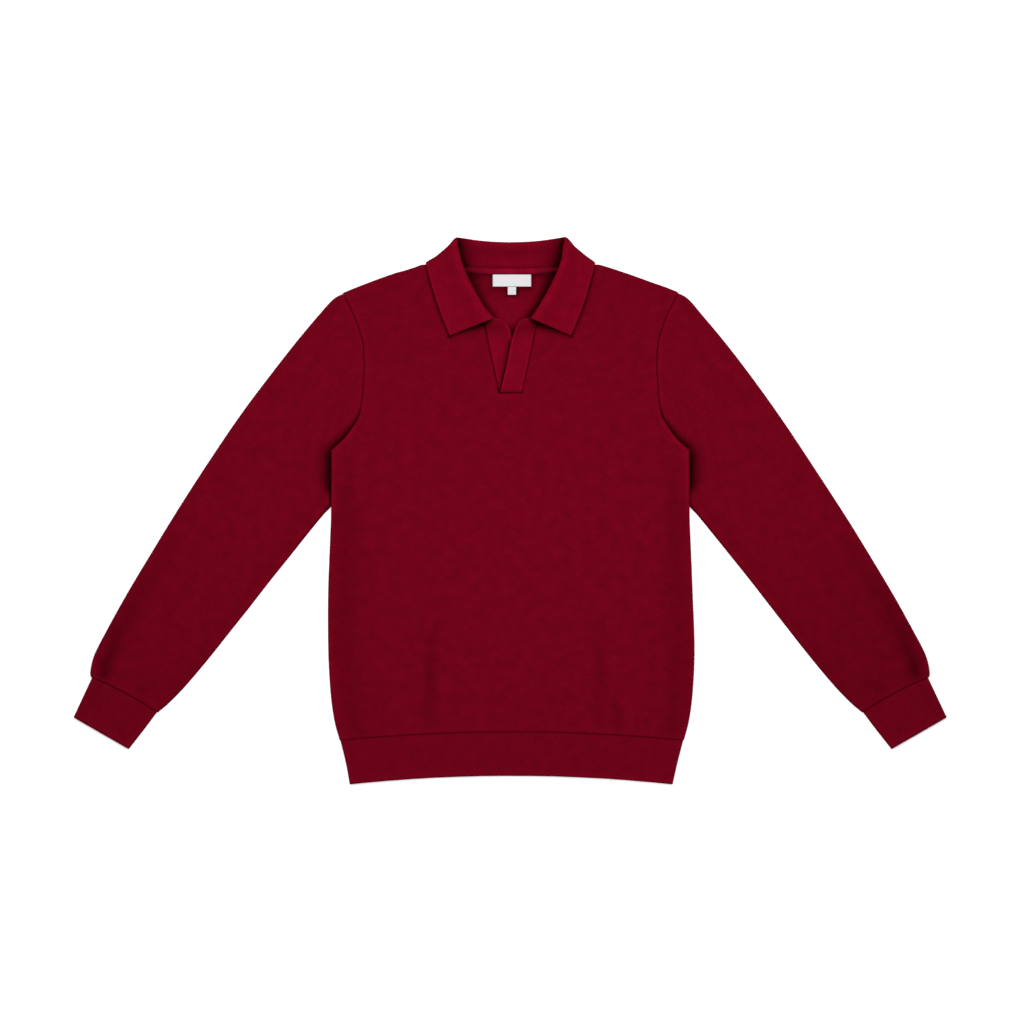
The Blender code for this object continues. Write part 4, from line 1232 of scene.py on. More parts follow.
@dataclass
class FrontPanel(BodyPanel):
    """The front, with its slit for the placket and its neckline."""

    rows: list[tuple[float, ...]] = field(default_factory=lambda: FRONT_ROWS)
    relief: Relief = FRONT_RELIEF
    tuck_fade: float = 60.0
    flat_side: float = 26.0  # the creases fade out towards the side over this width
    flat_hem: float = 14.0  # and towards the hem over this one
    centre_columns: int = 7
    extra_rows: tuple[float, ...] = (0.03, 0.07, 0.12, 13.84, 13.92, 13.97)  # hem and placket's foot

    def heights(self, plan: np.ndarray, place: dict[str, np.ndarray], side: int) -> np.ndarray:
        """Heights of the middle of the cloth.

        Args:
            plan: Places of the wearer's left half.
            place: Distances and shares from half().
            side: 1 for the wearer's left and -1 for the right.

        Returns:
            One height for each place.
        """
        x, y = plan[..., 0], plan[..., 1]
        above_hem = y - np.interp(x, *zip(*HEM_SEAM))
        held = 1 - 0.5 * LAYERS.over_leaf(x, y) / LAYERS.collar_lift
        shoulder = round_edge(place["shoulder"], self.shoulder_reach) * held
        side_drop = place["fold"] * round_edge(place["side"], self.side_reach)
        z = FRONT_MID + LAYERS.front_lift * LAYERS.tuck(x, y, self.tuck_fade, self.tuck_fade)
        creased = ease(place["side"] / self.flat_side) * ease(above_hem / self.flat_hem)
        z = z + self.relief.at(side * x, y) * creased
        z = z - EDGE_DROP * (1 - (1 - side_drop) * (1 - shoulder))
        z = z + place["dip"] * BODY_ARMHOLE_ROLL.at(place["side"]) * (1 - shoulder)
        return z + HEM_SEAM_ROLL.at(above_hem)

    def build(self, finish: KnitFinish) -> ClothPiece:
        """Draws the front panel.

        Args:
            finish: The body's knit.

        Returns:
            The panel as one grid, open along the placket.
        """
        plan, place, at = self.half()
        halves = []
        for side in (1, -1):
            half = np.dstack([plan, self.heights(plan, place, side)])
            halves.append(half if side > 0 else mirrored(half)[:, ::-1])
        left, right = halves
        share = np.linspace(0, 1, self.centre_columns + 2)[1:-1, None, None]
        centre = (right[None, :, -1] * (1 - share) + left[None, :, 0] * share).transpose(1, 0, 2)
        centre[..., 2] += PLACKET_FOOT_ROLL.at(centre[..., 1] - PLACKET_FOOT)
        grid = np.concatenate([right, centre, left], axis=1)
        middle = plan.shape[1]
        open_rows = [r for r in range(len(at) - 1) if at[r] >= PLACKET_ROW - 1e-6]
        skip = {(r, c) for r in open_rows for c in range(middle - 1, middle + self.centre_columns)}
        cut = Cut(487.0, 643.0, 0.86, ("knit_back",))
        cloth = grid[..., :2]
        return ClothPiece(
            "knit_front", "front_panel", grid, cloth, finish, cut, skip=skip, shades=FRONT_SHADES
        )


@dataclass
class BackPanel(BodyPanel):
    """The back, which lies on the surface and is raised over the collar's leaf."""

    rows: list[tuple[float, ...]] = field(default_factory=lambda: BACK_ROWS)
    spacing: float = 4.6
    neck_columns: int = 24
    neck_rise: float = 120.0  # where the rows start to bend towards the back neck
    hem_bow: float = 1.4
    hem_bow_reach: float = 60.0

    def build(self, finish: KnitFinish) -> ClothPiece:
        """Draws the back panel.

        Args:
            finish: The body's knit.

        Returns:
            The panel as one grid.
        """
        plan, place, _ = self.half()
        neck = spline(np.array(BACK_NECK), np.linspace(0, len(BACK_NECK) - 1, self.neck_columns + 1))[:-1]
        inner_y = plan[:, 0, 1]
        rise = ease((inner_y - self.neck_rise) / (inner_y[-1] - self.neck_rise))
        bow = self.hem_bow * ease(1 - (inner_y - inner_y[0]) / self.hem_bow_reach)
        columns = []
        for neck_x, neck_y in neck:
            y = inner_y + bow * (1 - (neck_x / NECK_POINT[0]) ** 2) + rise * (neck_y - inner_y[-1])
            columns.append(np.column_stack([np.full(len(y), neck_x), y]))
        inside = np.array(columns).transpose(1, 0, 2)
        half = np.concatenate([inside, plan], axis=1)
        far = {"side": 99.0, "fold": 0.0, "shoulder": self.shoulder_reach}
        for key, value in far.items():
            place[key] = np.concatenate([np.full(inside.shape[:2], value), place[key]], axis=1)
        x, y = half[..., 0], half[..., 1]
        lift = LAYERS.over_leaf(x, y)
        side_drop = place["fold"] * round_edge(place["side"], self.side_reach)
        shoulder = round_edge(place["shoulder"], self.shoulder_reach)
        edge = (1 - (1 - side_drop) * (1 - shoulder)) * (1 - lift / LAYERS.collar_lift)
        z = BACK_MID + lift + EDGE_DROP * edge
        grid = np.dstack([half, z])
        grid = np.concatenate([mirrored(grid)[:, :0:-1], grid], axis=1)
        cut = Cut(487.0, 643.0, 0.88, ("collar_knit",))
        return ClothPiece("knit_back", "back_panel", grid, grid[..., :2], finish, cut, shades=BACK_SHADES)


# ---------------------------------------------------------------- sleeves and ribbed bands
@dataclass
class FlatTube:
    """A flattened tube of cloth with soft edges, open at both ends."""

    reach: float = 12.0
    edge_count: int = 8

    def across(self, width: float, count: int) -> np.ndarray:
        """Places points across the tube, closest together at its edges.

        Args:
            width: The tube's width.
            count: How many points lie between its rounded edges.

        Returns:
            Their distances from the first edge.
        """
        near = edge_steps(self.reach, self.edge_count)
        even = np.linspace(self.reach, width - self.reach, count + 2)[1:-1]
        return np.concatenate([near, even, width - near[::-1]])

    def lift(self, across: np.ndarray, width: float) -> np.ndarray:
        """How far each layer stands from the tube's middle, as a share."""
        return 1 - round_edge(np.minimum(across, width - across), self.reach)

    def ring(self, front: np.ndarray, back: np.ndarray) -> np.ndarray:
        """The front layer's values and then the back's in return, as they share their two ends."""
        return np.concatenate([front, back[1:-1][::-1]])


@dataclass
class Sleeve(FlatTube):
    """A set-in sleeve, whose lower end is tucked between the front and the back."""

    side: int = 1
    columns: int = 46
    spacing: float = 4.0
    cap_ease: float = 6.0  # extra width that the cap is eased in by
    seam_end: float = 132.0  # how far down the sleeve's edge follows the armhole's seam
    seam_gap: float = 0.5
    tuck_press: float = 0.7  # how much lower the front layer lies where it is tucked in
    edge_press: float = 0.5  # and how much more at the body's edge
    tuck_lift: float = 2.6  # how much higher the back layer lies there
    line_points: int = 241  # points of a line that is read at even shares
    cuff_end: tuple[float, float] = (557.0, -221.0)
    cuff_way: tuple[float, float] = (0.463, -0.886)
    extra_rows: tuple[float, ...] = (0.04, 0.09, 0.16)  # close rows at the cap
    extra_ends: tuple[float, ...] = (0.6, 0.4, 0.2, 0.1)  # and how far from the last row others lie
    creases: tuple[Crease, ...] = ()

    def armhole(self, rows: list[tuple[float, ...]], tuck: list[tuple[float, float]]) -> np.ndarray:
        """Follows the sleeve's edge along the armhole and on under the body.

        Args:
            rows: The rows of the panel that the edge lies against.
            tuck: The places that it passes between the panels.

        Returns:
            The edge's points at even shares of its length.
        """
        table = np.array(rows, float)
        seam = spline(table, row_numbers(table, self.spacing))[::-1, :2]
        path = np.vstack([seam[seam[:, 1] > self.seam_end], tuck])
        ahead = np.vstack([path[1:], 2 * path[-1] - path[-2]]) - np.vstack([2 * path[0] - path[1], path[:-1]])
        ahead /= np.linalg.norm(ahead, axis=1)[:, None]
        path = path + self.seam_gap * np.column_stack([-ahead[:, 1], ahead[:, 0]])
        along = travelled(path)
        even = np.linspace(0, 1, self.line_points)
        return np.column_stack([np.interp(even, along / along[-1], path[:, k]) for k in (0, 1)])

    def heights(self, plan: np.ndarray, from_cap: np.ndarray) -> tuple[np.ndarray, np.ndarray]:
        """Heights of the front and back layers.

        Args:
            plan: Places of the wearer's left sleeve.
            from_cap: Distance from the armhole's seam.

        Returns:
            The middle of the front layer's cloth and that of the back.
        """
        x, y = plan[:, 0], plan[:, 1]
        tuck = LAYERS.tuck(x, y, 60.0, 26.0)
        at_edge = LAYERS.tuck(x, y, 12.0, 24.0)
        relief = Relief(self.creases, phase=1.7 * self.side)
        upper = ease((y - 128.0) / 20.0)
        past_cuff = (x - self.cuff_end[0]) * self.cuff_way[0] + (y - self.cuff_end[1]) * self.cuff_way[1]
        front = FRONT_MID - self.tuck_press * tuck - self.edge_press * at_edge
        front = front + relief.at(x, y) * ease(-past_cuff / 12.0)
        front = front + upper * SLEEVE_ARMHOLE_ROLL.at(from_cap) + CUFF_SEAM_ROLL.at(2.0 - past_cuff)
        return front, BACK_MID + self.tuck_lift * tuck

    def section(
        self, row: np.ndarray, edges: list[np.ndarray], length: float
    ) -> tuple[np.ndarray, np.ndarray]:
        """Draws one section round the sleeve.

        Args:
            row: A row of SLEEVE_ROWS.
            edges: The sleeve's edge along the front panel, then along the back.
            length: How far down the sleeve the section is.

        Returns:
            The section's points and their places on the cloth.
        """
        upper, lower, arch = row[0:2], row[2:4], row[5]
        cap = max(row[4], 0.0)
        span = float(np.linalg.norm(lower - upper))
        width = span + self.cap_ease * cap
        down_sleeve = np.array([upper[1] - lower[1], lower[0] - upper[0]]) / span
        across = self.across(width, self.columns)
        lift = self.lift(across, width)
        inset = across + np.where(across < width / 2, 1, -1) * (WALL / 2) * (1 - lift)
        share = np.clip(inset / width, 0, 1)
        even = np.linspace(0, 1, self.line_points)
        layers = []
        for edge, up in zip(edges, (1, -1)):
            bend = (edge - edge[0] - np.outer(even, edge[-1] - edge[0])) * cap
            plan = upper + np.outer(share, lower - upper)
            plan += np.column_stack([np.interp(share, even, bend[:, k]) for k in (0, 1)])
            plan -= np.outer(4 * arch * share * (1 - share), down_sleeve)
            front, back = self.heights(plan, np.full(len(plan), length))
            z = (front + back) / 2 + up * (front - back) / 2 * lift
            layers.append(np.column_stack([plan, z]))
        around = self.ring(across, 2 * width - across) - width / 2
        return self.ring(*layers), np.column_stack([around, np.full(len(around), -length)])

    def build(self, finish: KnitFinish) -> ClothPiece:
        """Draws the sleeve.

        Args:
            finish: The body's knit.

        Returns:
            The sleeve as one closed ring of cloth.
        """
        edges = [self.armhole(FRONT_ROWS, FRONT_TUCK), self.armhole(BACK_ROWS, BACK_TUCK)]
        rows = np.array(SLEEVE_ROWS, float)
        last = len(rows) - 1
        extra = [*self.extra_rows, *(last - place for place in self.extra_ends)]
        read = spline(rows, np.sort(np.concatenate([row_numbers(rows, self.spacing), extra])))
        lengths = travelled((read[:, 0:2] + read[:, 2:4]) / 2)
        sections = [self.section(row, edges, length) for row, length in zip(read, lengths)]
        grid, cloth = (np.array(part) for part in zip(*sections))
        if self.side < 0:
            grid, cloth = mirrored(grid)[:, ::-1], cloth[:, ::-1]
        name = "left" if self.side > 0 else "right"
        cut = Cut(490.0, 609.0, 0.53, ("knit_back", "knit_front"))
        return ClothPiece(
            f"knit_sleeve_{name}",
            f"sleeve_{name}",
            grid,
            cloth,
            finish,
            cut,
            closed=True,
            shades=SLEEVE_SHADES,
        )


@dataclass
class RibbedBand(FlatTube):
    """A flattened band of knitted ribs, all round."""

    name: str = "rib_hem"
    replaces: str = "hem_band"
    reach: float = 6.0
    edge_count: int = 6
    thick: float = 7.0
    pitch: float = 3.4
    edge_turn: float = 4.0  # cloth that the two rounded edges take up
    relief: float = 0.17
    rows_between: int = 6
    points_per_rib: int = 6
    end_rows: tuple[float, ...] = (0.015, 0.04, 0.08, 1.88, 1.93, 1.97)
    mirror: bool = False

    def lines(self) -> list[tuple[np.ndarray, float]]:
        """Draws the rows of the band.

        Returns:
            For each row, its plan at even shares and its width.
        """
        share = np.linspace(0, 1, 201)
        read = spline(np.array(HEM_ROWS), self.row_places())
        found = []
        for half, side_y, centre_y in read:
            x = half * (1 - 2 * share)
            found.append((np.column_stack([x, centre_y + (side_y - centre_y) * (x / half) ** 2]), 2 * half))
        return found

    def build(self, finish: KnitFinish, cut: Cut) -> ClothPiece:
        """Draws the band.

        Args:
            finish: The ribbed knit.
            cut: The band's flat size, all round.

        Returns:
            The band as one closed ring of cloth.
        """
        lines = self.lines()
        even = np.linspace(0, 1, len(lines[0][0]))
        width = lines[0][1]
        ribs = 2 * round((width + self.edge_turn) / self.pitch / 2)
        count = ribs * self.points_per_rib
        shares = self.shares(width, count)
        rings, cloth = [], []
        for place, (line, row_width) in zip(self.row_places(), lines):
            depth = place / 2
            from_seam, from_edge = depth * BAND_DEPTH, (1 - depth) * BAND_DEPTH
            end = 1 - 0.5 * hump(from_edge, 1.0) - 0.5 * hump(from_seam, 2.0)
            across = shares * row_width
            lift = self.lift(across, row_width)
            inset = shares + np.where(shares < 0.5, 1, -1) * (WALL / 2) * (1 - lift) / row_width
            x, y = (np.interp(inset, even, line[:, k]) for k in (0, 1))
            ridge = np.cos(2 * math.pi * shares * ribs) * self.relief * end
            ridge = ridge + 0.22 * np.sin(across / 17 + 2 * depth) * np.sin(across / 7.3 + 5 * depth) * end
            half = self.thick / 2 - WALL / 2
            turned = 0.45 * hump(from_edge - 3.2, 2.0)
            front = np.column_stack([x, y, self.thick / 2 + (half + ridge + turned) * lift - 0.3 * (1 - end)])
            back = np.column_stack([x, y, self.thick / 2 - (half - 0.25 + 0.7 * ridge) * lift])
            rings.append(self.ring(front, back))
            around = self.ring(shares, 2 - shares) * width
            cloth.append(np.column_stack([around, np.full(len(around), -from_seam)]))
        grid, cloth_grid = np.array(rings), np.array(cloth)
        if self.mirror:
            grid, cloth_grid = mirrored(grid)[:, ::-1], cloth_grid[:, ::-1]
        return ClothPiece(
            self.name, self.replaces, grid, cloth_grid, finish, cut, closed=True, shades=RIB_SHADES
        )

    def row_places(self) -> np.ndarray:
        """Fractional numbers of the band's rows, closest together at its ends."""
        even = np.linspace(0, 2, 2 * self.rows_between + 1)
        return np.sort(np.concatenate([even, self.end_rows]))

    def shares(self, width: float, count: int) -> np.ndarray:
        """Places points across the band, evenly over the ribs and closer at its rounded edges.

        Args:
            width: The band's width at its seam.
            count: How many even steps it is cut into.

        Returns:
            Their shares of the width.
        """
        near = edge_steps(self.reach, self.edge_count) / width
        middle = np.arange(1, count) / count
        middle = middle[(middle > near[-1] + 0.3 / count) & (middle < 1 - near[-1] - 0.3 / count)]
        return np.concatenate([near, middle, 1 - near[::-1]])


@dataclass
class CuffBand(RibbedBand):
    """A ribbed cuff, square to its sleeve."""

    def lines(self) -> list[tuple[np.ndarray, float]]:
        """Draws the rows of the cuff.

        Returns:
            For each row, its plan at even shares and its width.
        """
        share = np.linspace(0, 1, 101)
        read = spline(np.array(CUFF_ROWS), self.row_places())
        found = []
        for ux, uy, lx, ly, arch in read:
            upper, lower = np.array([ux, uy]), np.array([lx, ly])
            width = float(np.linalg.norm(upper - lower))
            axis = np.array([uy - ly, lx - ux]) / width
            line = upper + np.outer(share, lower - upper) - np.outer(4 * arch * share * (1 - share), axis)
            found.append((line, width))
        return found


# ---------------------------------------------------------------- collar, placket and neck
@dataclass
class Collar:
    """A fold-down collar in one length: its stand, the roll round its top and its leaf."""

    roll_radius: float = 2.2
    rows_between: int = 4
    stand_steps: int = 9
    roll_steps: int = 9
    leaf_steps: int = 24
    puff: float = 3.6  # how much higher than its table the roll stands
    end_puff: float = 0.8  # and how much more at the front end
    edge_lift: float = 1.2
    # painted shade on the inside of the roll
    front_light: float = 0.90  # how light the inside of the roll is

    def flat_direction(self, vector: np.ndarray) -> np.ndarray:
        """The direction of a vector in plan."""
        flat = np.array([vector[0], vector[1], 0.0])
        return flat / np.linalg.norm(flat)

    def section(self, row: np.ndarray, end: float) -> tuple[np.ndarray, np.ndarray]:
        """One section up the stand, round the roll and down the leaf.

        Args:
            row: A row of COLLAR_ROWS.
            end: 1 at the collar's front end, fading to 0 away from it.

        Returns:
            The section's points and their distances along the cloth.
        """
        neck, roll, edge, turn = row[0:3], row[3:6].copy(), row[6:9], math.radians(row[9])
        front = max(0.0, math.sin(turn))
        roll[2] += front * (self.puff + self.end_puff * end)
        edge = edge + np.array([0.0, 0.0, self.edge_lift * front])
        up = self.flat_direction(roll - neck)
        back_up = self.flat_direction(roll - edge)
        outward = np.array([up[1], -up[0], 0.0])
        radius = self.roll_radius * (0.72 + 0.28 * front)
        leaf_side = math.cos(turn) * outward + math.sin(turn) * np.array([0, 0, 1.0])
        centre = roll - self.flat_direction(up + back_up) * radius
        around = []
        for share in np.linspace(0, 1, self.roll_steps + 1):
            lead = self.flat_direction((1 - share) * up + share * back_up)
            angle = math.pi * share
            around.append(centre + radius * (math.sin(angle) * lead - math.cos(angle) * leaf_side))
        share = np.linspace(0, 1, self.stand_steps + 1)[:-1, None]
        stand = neck + share * (around[0] - neck)
        stand[:, 2] = neck[2] + (around[0][2] - neck[2]) * ease(share[:, 0])
        share = np.linspace(0, 1, self.leaf_steps + 1)[1:, None]
        leaf = around[-1] + share * (edge - around[-1])
        leaf[:, 2] = edge[2] + (around[-1][2] - edge[2]) * (1 - ease(share[:, 0] * 1.05))
        depth = float(np.linalg.norm((edge - around[-1])[:2]))
        from_edge = (1 - share[:, 0]) * depth
        leaf[:, 2] += front * LEAF_EDGE_ROLL.at(from_edge)
        leaf[:, 2] += front * 0.25 * np.sin(share[:, 0] * 5 + row[0] / 9)
        points = np.vstack([stand, around, leaf])
        return points, travelled(points)

    def build(self, finish: KnitFinish) -> ClothPiece:
        """Draws the collar.

        Args:
            finish: The trims' knit.

        Returns:
            The collar as one grid, from its left front end round to its right one.
        """
        rows = np.array(COLLAR_ROWS, float)
        at = np.linspace(0, len(rows) - 1, (len(rows) - 1) * self.rows_between + 1)
        read = spline(rows, at)
        read[:, 8] = np.maximum(read[:, 8], BACK_MID)
        sections, cloth = [], []
        along = travelled(read[:, 3:5])
        for number, row, place in zip(at, read, along):
            points, across = self.section(row, math.exp(-0.8 * number))
            sections.append(points)
            cloth.append(np.column_stack([np.full(len(across), place), across]))
        half, half_cloth = np.array(sections), np.array(cloth)
        other_cloth = half_cloth.copy()
        other_cloth[..., 0] = 2 * along[-1] - other_cloth[..., 0]
        grid = np.concatenate([half, mirrored(half)[::-1][1:]])
        cloth_grid = np.concatenate([half_cloth, other_cloth[::-1][1:]])
        grid[..., 0] += self.lean(grid)
        light = self.light(half)
        light = np.concatenate([light, light[::-1][1:]])
        cut = Cut(382.0, 92.0, 0.82, ("knit_front", "knit_back"))
        return ClothPiece("collar_knit", "collar", grid, cloth_grid, finish, cut, light=light)

    def lean(self, grid: np.ndarray) -> np.ndarray:
        """How far the collar's roll leans to the wearer's left, as it was laid.

        Args:
            grid: The collar's points.

        Returns:
            A distance for each point.
        """
        column = np.arange(grid.shape[1])
        roll = self.stand_steps + self.roll_steps / 2
        weight = np.where(column < roll, column / roll, np.clip(1 - (column - roll) / self.leaf_steps, 0, 1))
        y = grid[:, int(roll), 1][:, None]
        along = ease((352.0 - y) / 20.0) * (1.2 + 1.8 * hump(y - 254.0, 9.0))
        return along * weight[None, :]

    def light(self, half: np.ndarray) -> np.ndarray:
        """The collar's painted shade and highlights: dark inside its roll and lighter along its edges.

        Args:
            half: Points of the wearer's left half.

        Returns:
            A share for each point.
        """
        light = np.ones(half.shape[:2])
        inside = self.stand_steps + self.roll_steps // 2 - 1
        stand = half[:, :inside]
        # painted highlights along the stand's top and low down, painted shade in its middle, its corners, at
        # its foot and under the roll
        brow = Shade(((0.0, 355.5, 6.5), (30.0, 357.0, 6.5), (48.0, 359.0, 5.0, 0.6)), -0.42)
        middle = Shade(((0.0, 342.0, 6.5), (36.0, 343.0, 7.5), (50.0, 344.0, 8.0)), 0.20)
        corner = Shade(((68.0, 331.0, 15.0), (71.0, 356.0, 15.0)), 0.52)
        low = Shade(((0.0, 330.0, 6.0), (22.0, 330.5, 6.0), (34.0, 332.0, 5.0, 0.4)), -0.10)
        foot = Shade(((0.0, 321.6, 1.4), (40.0, 323.6, 1.4), (66.0, 329.6, 2.4)), 0.3)
        under_roll = Shade(LEAF_ROLL, 0.85)
        light[:, :inside] = self.front_light * shaded(stand, (under_roll, brow, middle, corner, low, foot))
        leaf = np.linspace(0, 1, self.leaf_steps + 1)
        # painted highlights along the roll's edge and the leaf's rim, and painted shade in a strip between
        band = 1.0 + 0.16 * hump(leaf - 0.05, 0.08) - 0.09 * hump(leaf - 0.32, 0.20)
        band = band + 0.26 * hump(leaf - 0.98, 0.035)
        light[:, -len(band) :] *= band
        return light


@dataclass
class PlacketStrip:
    """One doubled strip of the placket, with soft rounded edges."""

    name: str
    replaces: str
    rows: list[tuple[float, ...]]
    side: int
    rows_between: int = 7
    columns: int = 20
    width: float = 28.0
    crown: float = 0.7
    crown_reach: float = 5.0
    shades: tuple[Shade, ...] = STRIP_SHADES

    def build(self, finish: KnitFinish) -> ClothPiece:
        """Draws the strip.

        Args:
            finish: The trims' knit.

        Returns:
            The strip as one grid.
        """
        rows = np.array(self.rows, float)
        read = spline(rows, np.linspace(0, len(rows) - 1, (len(rows) - 1) * self.rows_between + 1))
        share = (1 - np.cos(np.linspace(0, math.pi, self.columns + 1))) / 2
        grid, cloth = [], []
        for row in read:
            seam, free, bow = row[0:3], row[3:6], row[6]
            line = seam + share[:, None] * (free - seam)
            width = float(np.linalg.norm(free - seam))
            line[:, 1] += 4 * bow * share * (1 - share)
            from_edge = np.minimum(share, 1 - share) * width
            line[:, 2] += self.crown * (1 - round_edge(from_edge, self.crown_reach)) - 0.2
            line[:, 2] -= 0.5 * hump(row[1] - self.rows[0][1], 1.6)
            grid.append(line)
            cloth.append(np.column_stack([share * width, line[:, 1]]))
        grid, cloth = np.array(grid), np.array(cloth)
        if self.side < 0:
            grid = mirrored(grid)
        else:
            grid, cloth = grid[:, ::-1], cloth[:, ::-1]
        from_seam, from_free = share * self.width, (1 - share) * self.width
        # painted highlights along the free edge, beside the seam and along the strip's top
        rim = 1 + 0.42 * hump(from_free - 0.8, 1.0) + 0.14 * hump(from_seam - 2.2, 1.4)
        light = np.tile(rim if self.side < 0 else rim[::-1], (len(grid), 1))
        light *= 1 + 0.55 * hump(rows[-1, 1] - read[:, 1], 0.9)[:, None]
        cut = Cut(60.0, 102.0, 0.5, ("knit_front",))
        return ClothPiece(self.name, self.replaces, grid, cloth, finish, cut, shades=self.shades, light=light)


@dataclass
class NeckTape:
    """The narrow knitted tape that covers the back neck's seam inside."""

    half_length: float = 62.5
    below: float = 4.3
    above: float = 3.6
    middle: float = 0.5  # how far above the seam its middle lies
    height: float = 5.85
    crown: float = 1.3
    wall: float = 1.2

    def line(self, x: np.ndarray) -> np.ndarray:
        """Reads how far along the garment the back neck's seam lies.

        Args:
            x: Places across the garment.

        Returns:
            A place along it for each of them.
        """
        fine = spline(np.array(BACK_NECK), np.linspace(0, len(BACK_NECK) - 1, 60))
        return np.interp(np.abs(x), fine[:, 0], fine[:, 1]) - 2.0 * ease((np.abs(x) - 50) / 12)

    def build(self, finish: KnitFinish) -> ClothPiece:
        """Draws the tape.

        Args:
            finish: The tape's knit.

        Returns:
            The tape as one grid.
        """
        x = np.linspace(-self.half_length, self.half_length, 90)
        seam = self.line(x)
        across = np.linspace(-1, 1, 11)
        narrow = 1 - 0.55 * ease((np.abs(x) - 46) / 18)
        rows, cloth = [], []
        for share in across:
            reach = np.where(share < 0, self.below, self.above) * narrow
            y = seam + share * reach + self.middle
            z = self.height + self.crown * (1 - share**2)
            rows.append(np.column_stack([x, y, np.full(len(x), z)]))
            cloth.append(np.column_stack([y, x]))
        # painted shade darkening towards the tape's ends and its long edges, and a painted highlight at its
        # middle
        light = 1 - 0.30 * ease((np.abs(x) - 24) / 22) - 0.35 * ease((np.abs(x) - 46) / 14)
        light = light * (1 + 0.16 * hump(x, 15.0)) * (1 - 0.25 * (across**2)[:, None])
        cut = Cut(125.0, 10.0, 0.8, ("knit_back", "collar_knit"))
        grid = np.array(rows)
        return ClothPiece(
            "neck_tape_knit", "neck_tape", grid, np.array(cloth), finish, cut, wall=self.wall, light=light
        )


@dataclass
class WovenLabel:
    """A bare white label on the back panel's inner face."""

    name: str
    replaces: str
    centre: float
    half_width: float
    bottom: float
    top: float
    raised: float = 1.6
    curl: float = 0.3
    wall: float = 0.8

    def build(self, finish: RibbonFinish) -> ClothPiece:
        """Draws the label.

        Args:
            finish: The ribbon.

        Returns:
            The label as one grid.
        """
        x, y = np.meshgrid(np.linspace(-1, 1, 31), np.linspace(0, 1, 21))
        place_x = self.centre + x * self.half_width
        place_y = self.bottom + y * (self.top - self.bottom)
        z = BACK_MID + LAYERS.over_leaf(place_x, place_y) + WALL / 2 + self.raised
        z = z + 0.35 * (1 - x**2) + self.curl * (1 - y) ** 2 - 0.2 * hump(np.abs(x) - 1, 0.05)
        grid = np.dstack([place_x, place_y, z])
        cut = Cut(2 * self.half_width, self.top - self.bottom, 1.0, ("knit_back",))
        return ClothPiece(self.name, self.replaces, grid, grid[..., :2], finish, cut, wall=self.wall)


@dataclass
class StitchRow:
    """A row of short raised stitches along a line."""

    name: str
    points: np.ndarray
    pitch: float = 3.2
    length: float = 1.9
    radius: float = 0.4

    def build(self, finish: YarnFinish, material: bpy.types.Material) -> bpy.types.Object:
        """Makes the stitches as one curve object.

        Args:
            finish: The yarn.
            material: Its finished material.

        Returns:
            The new object.
        """
        along = travelled(self.points)
        curve = bpy.data.curves.new(self.name, "CURVE")
        curve.dimensions = "3D"
        curve.bevel_depth = self.radius * MM
        curve.bevel_resolution = 1
        curve.use_fill_caps = True
        for start in np.arange(self.pitch / 2, along[-1] - self.length, self.pitch):
            at = start + np.array([0.0, 0.35, 0.65, 1.0]) * self.length
            place = np.column_stack([np.interp(at, along, self.points[:, k]) for k in range(3)])
            place[:, 2] += np.array([-0.25, 0.1, 0.1, -0.25])
            stitch = curve.splines.new("POLY")
            stitch.points.add(3)
            for point, co in zip(stitch.points, place):
                point.co = (*(co * MM), 1.0)
        curve.materials.append(material)
        made = added(self.name, curve)
        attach(made, "root")
        LOG.info("%s: %d stitches", self.name, len(curve.splines))
        return made


# ---------------------------------------------------------------- the sweater and its studio
WINE = KnitFinish("wine_double_knit", "knit", Stitch.DOUBLE, (0.157, 0.0014, 0.0097))
WINE_RIB = KnitFinish("wine_rib_knit", "rib", Stitch.RIB, (0.155, 0.0015, 0.0099), cloud=0.25, sheen=0.08)
WINE_TRIM = KnitFinish(
    "wine_collar_knit", "trim", Stitch.PLAIN, (0.180, 0.0015, 0.0114), wale=1.5, course=1.1, bump=0.4
)
# the tape's knit is lighter than the collar's, a painted highlight for the raised tape
WINE_TAPE = KnitFinish(
    "wine_neck_tape", "trim", Stitch.PLAIN, (0.215, 0.0022, 0.0150), wale=1.2, course=1.0, bump=0.3
)
WHITE_RIBBON = RibbonFinish("white_label_ribbon", "label", (0.755, 0.760, 0.775))
WINE_YARN = YarnFinish("wine_linking_yarn", "trim", (0.075, 0.0012, 0.0055))


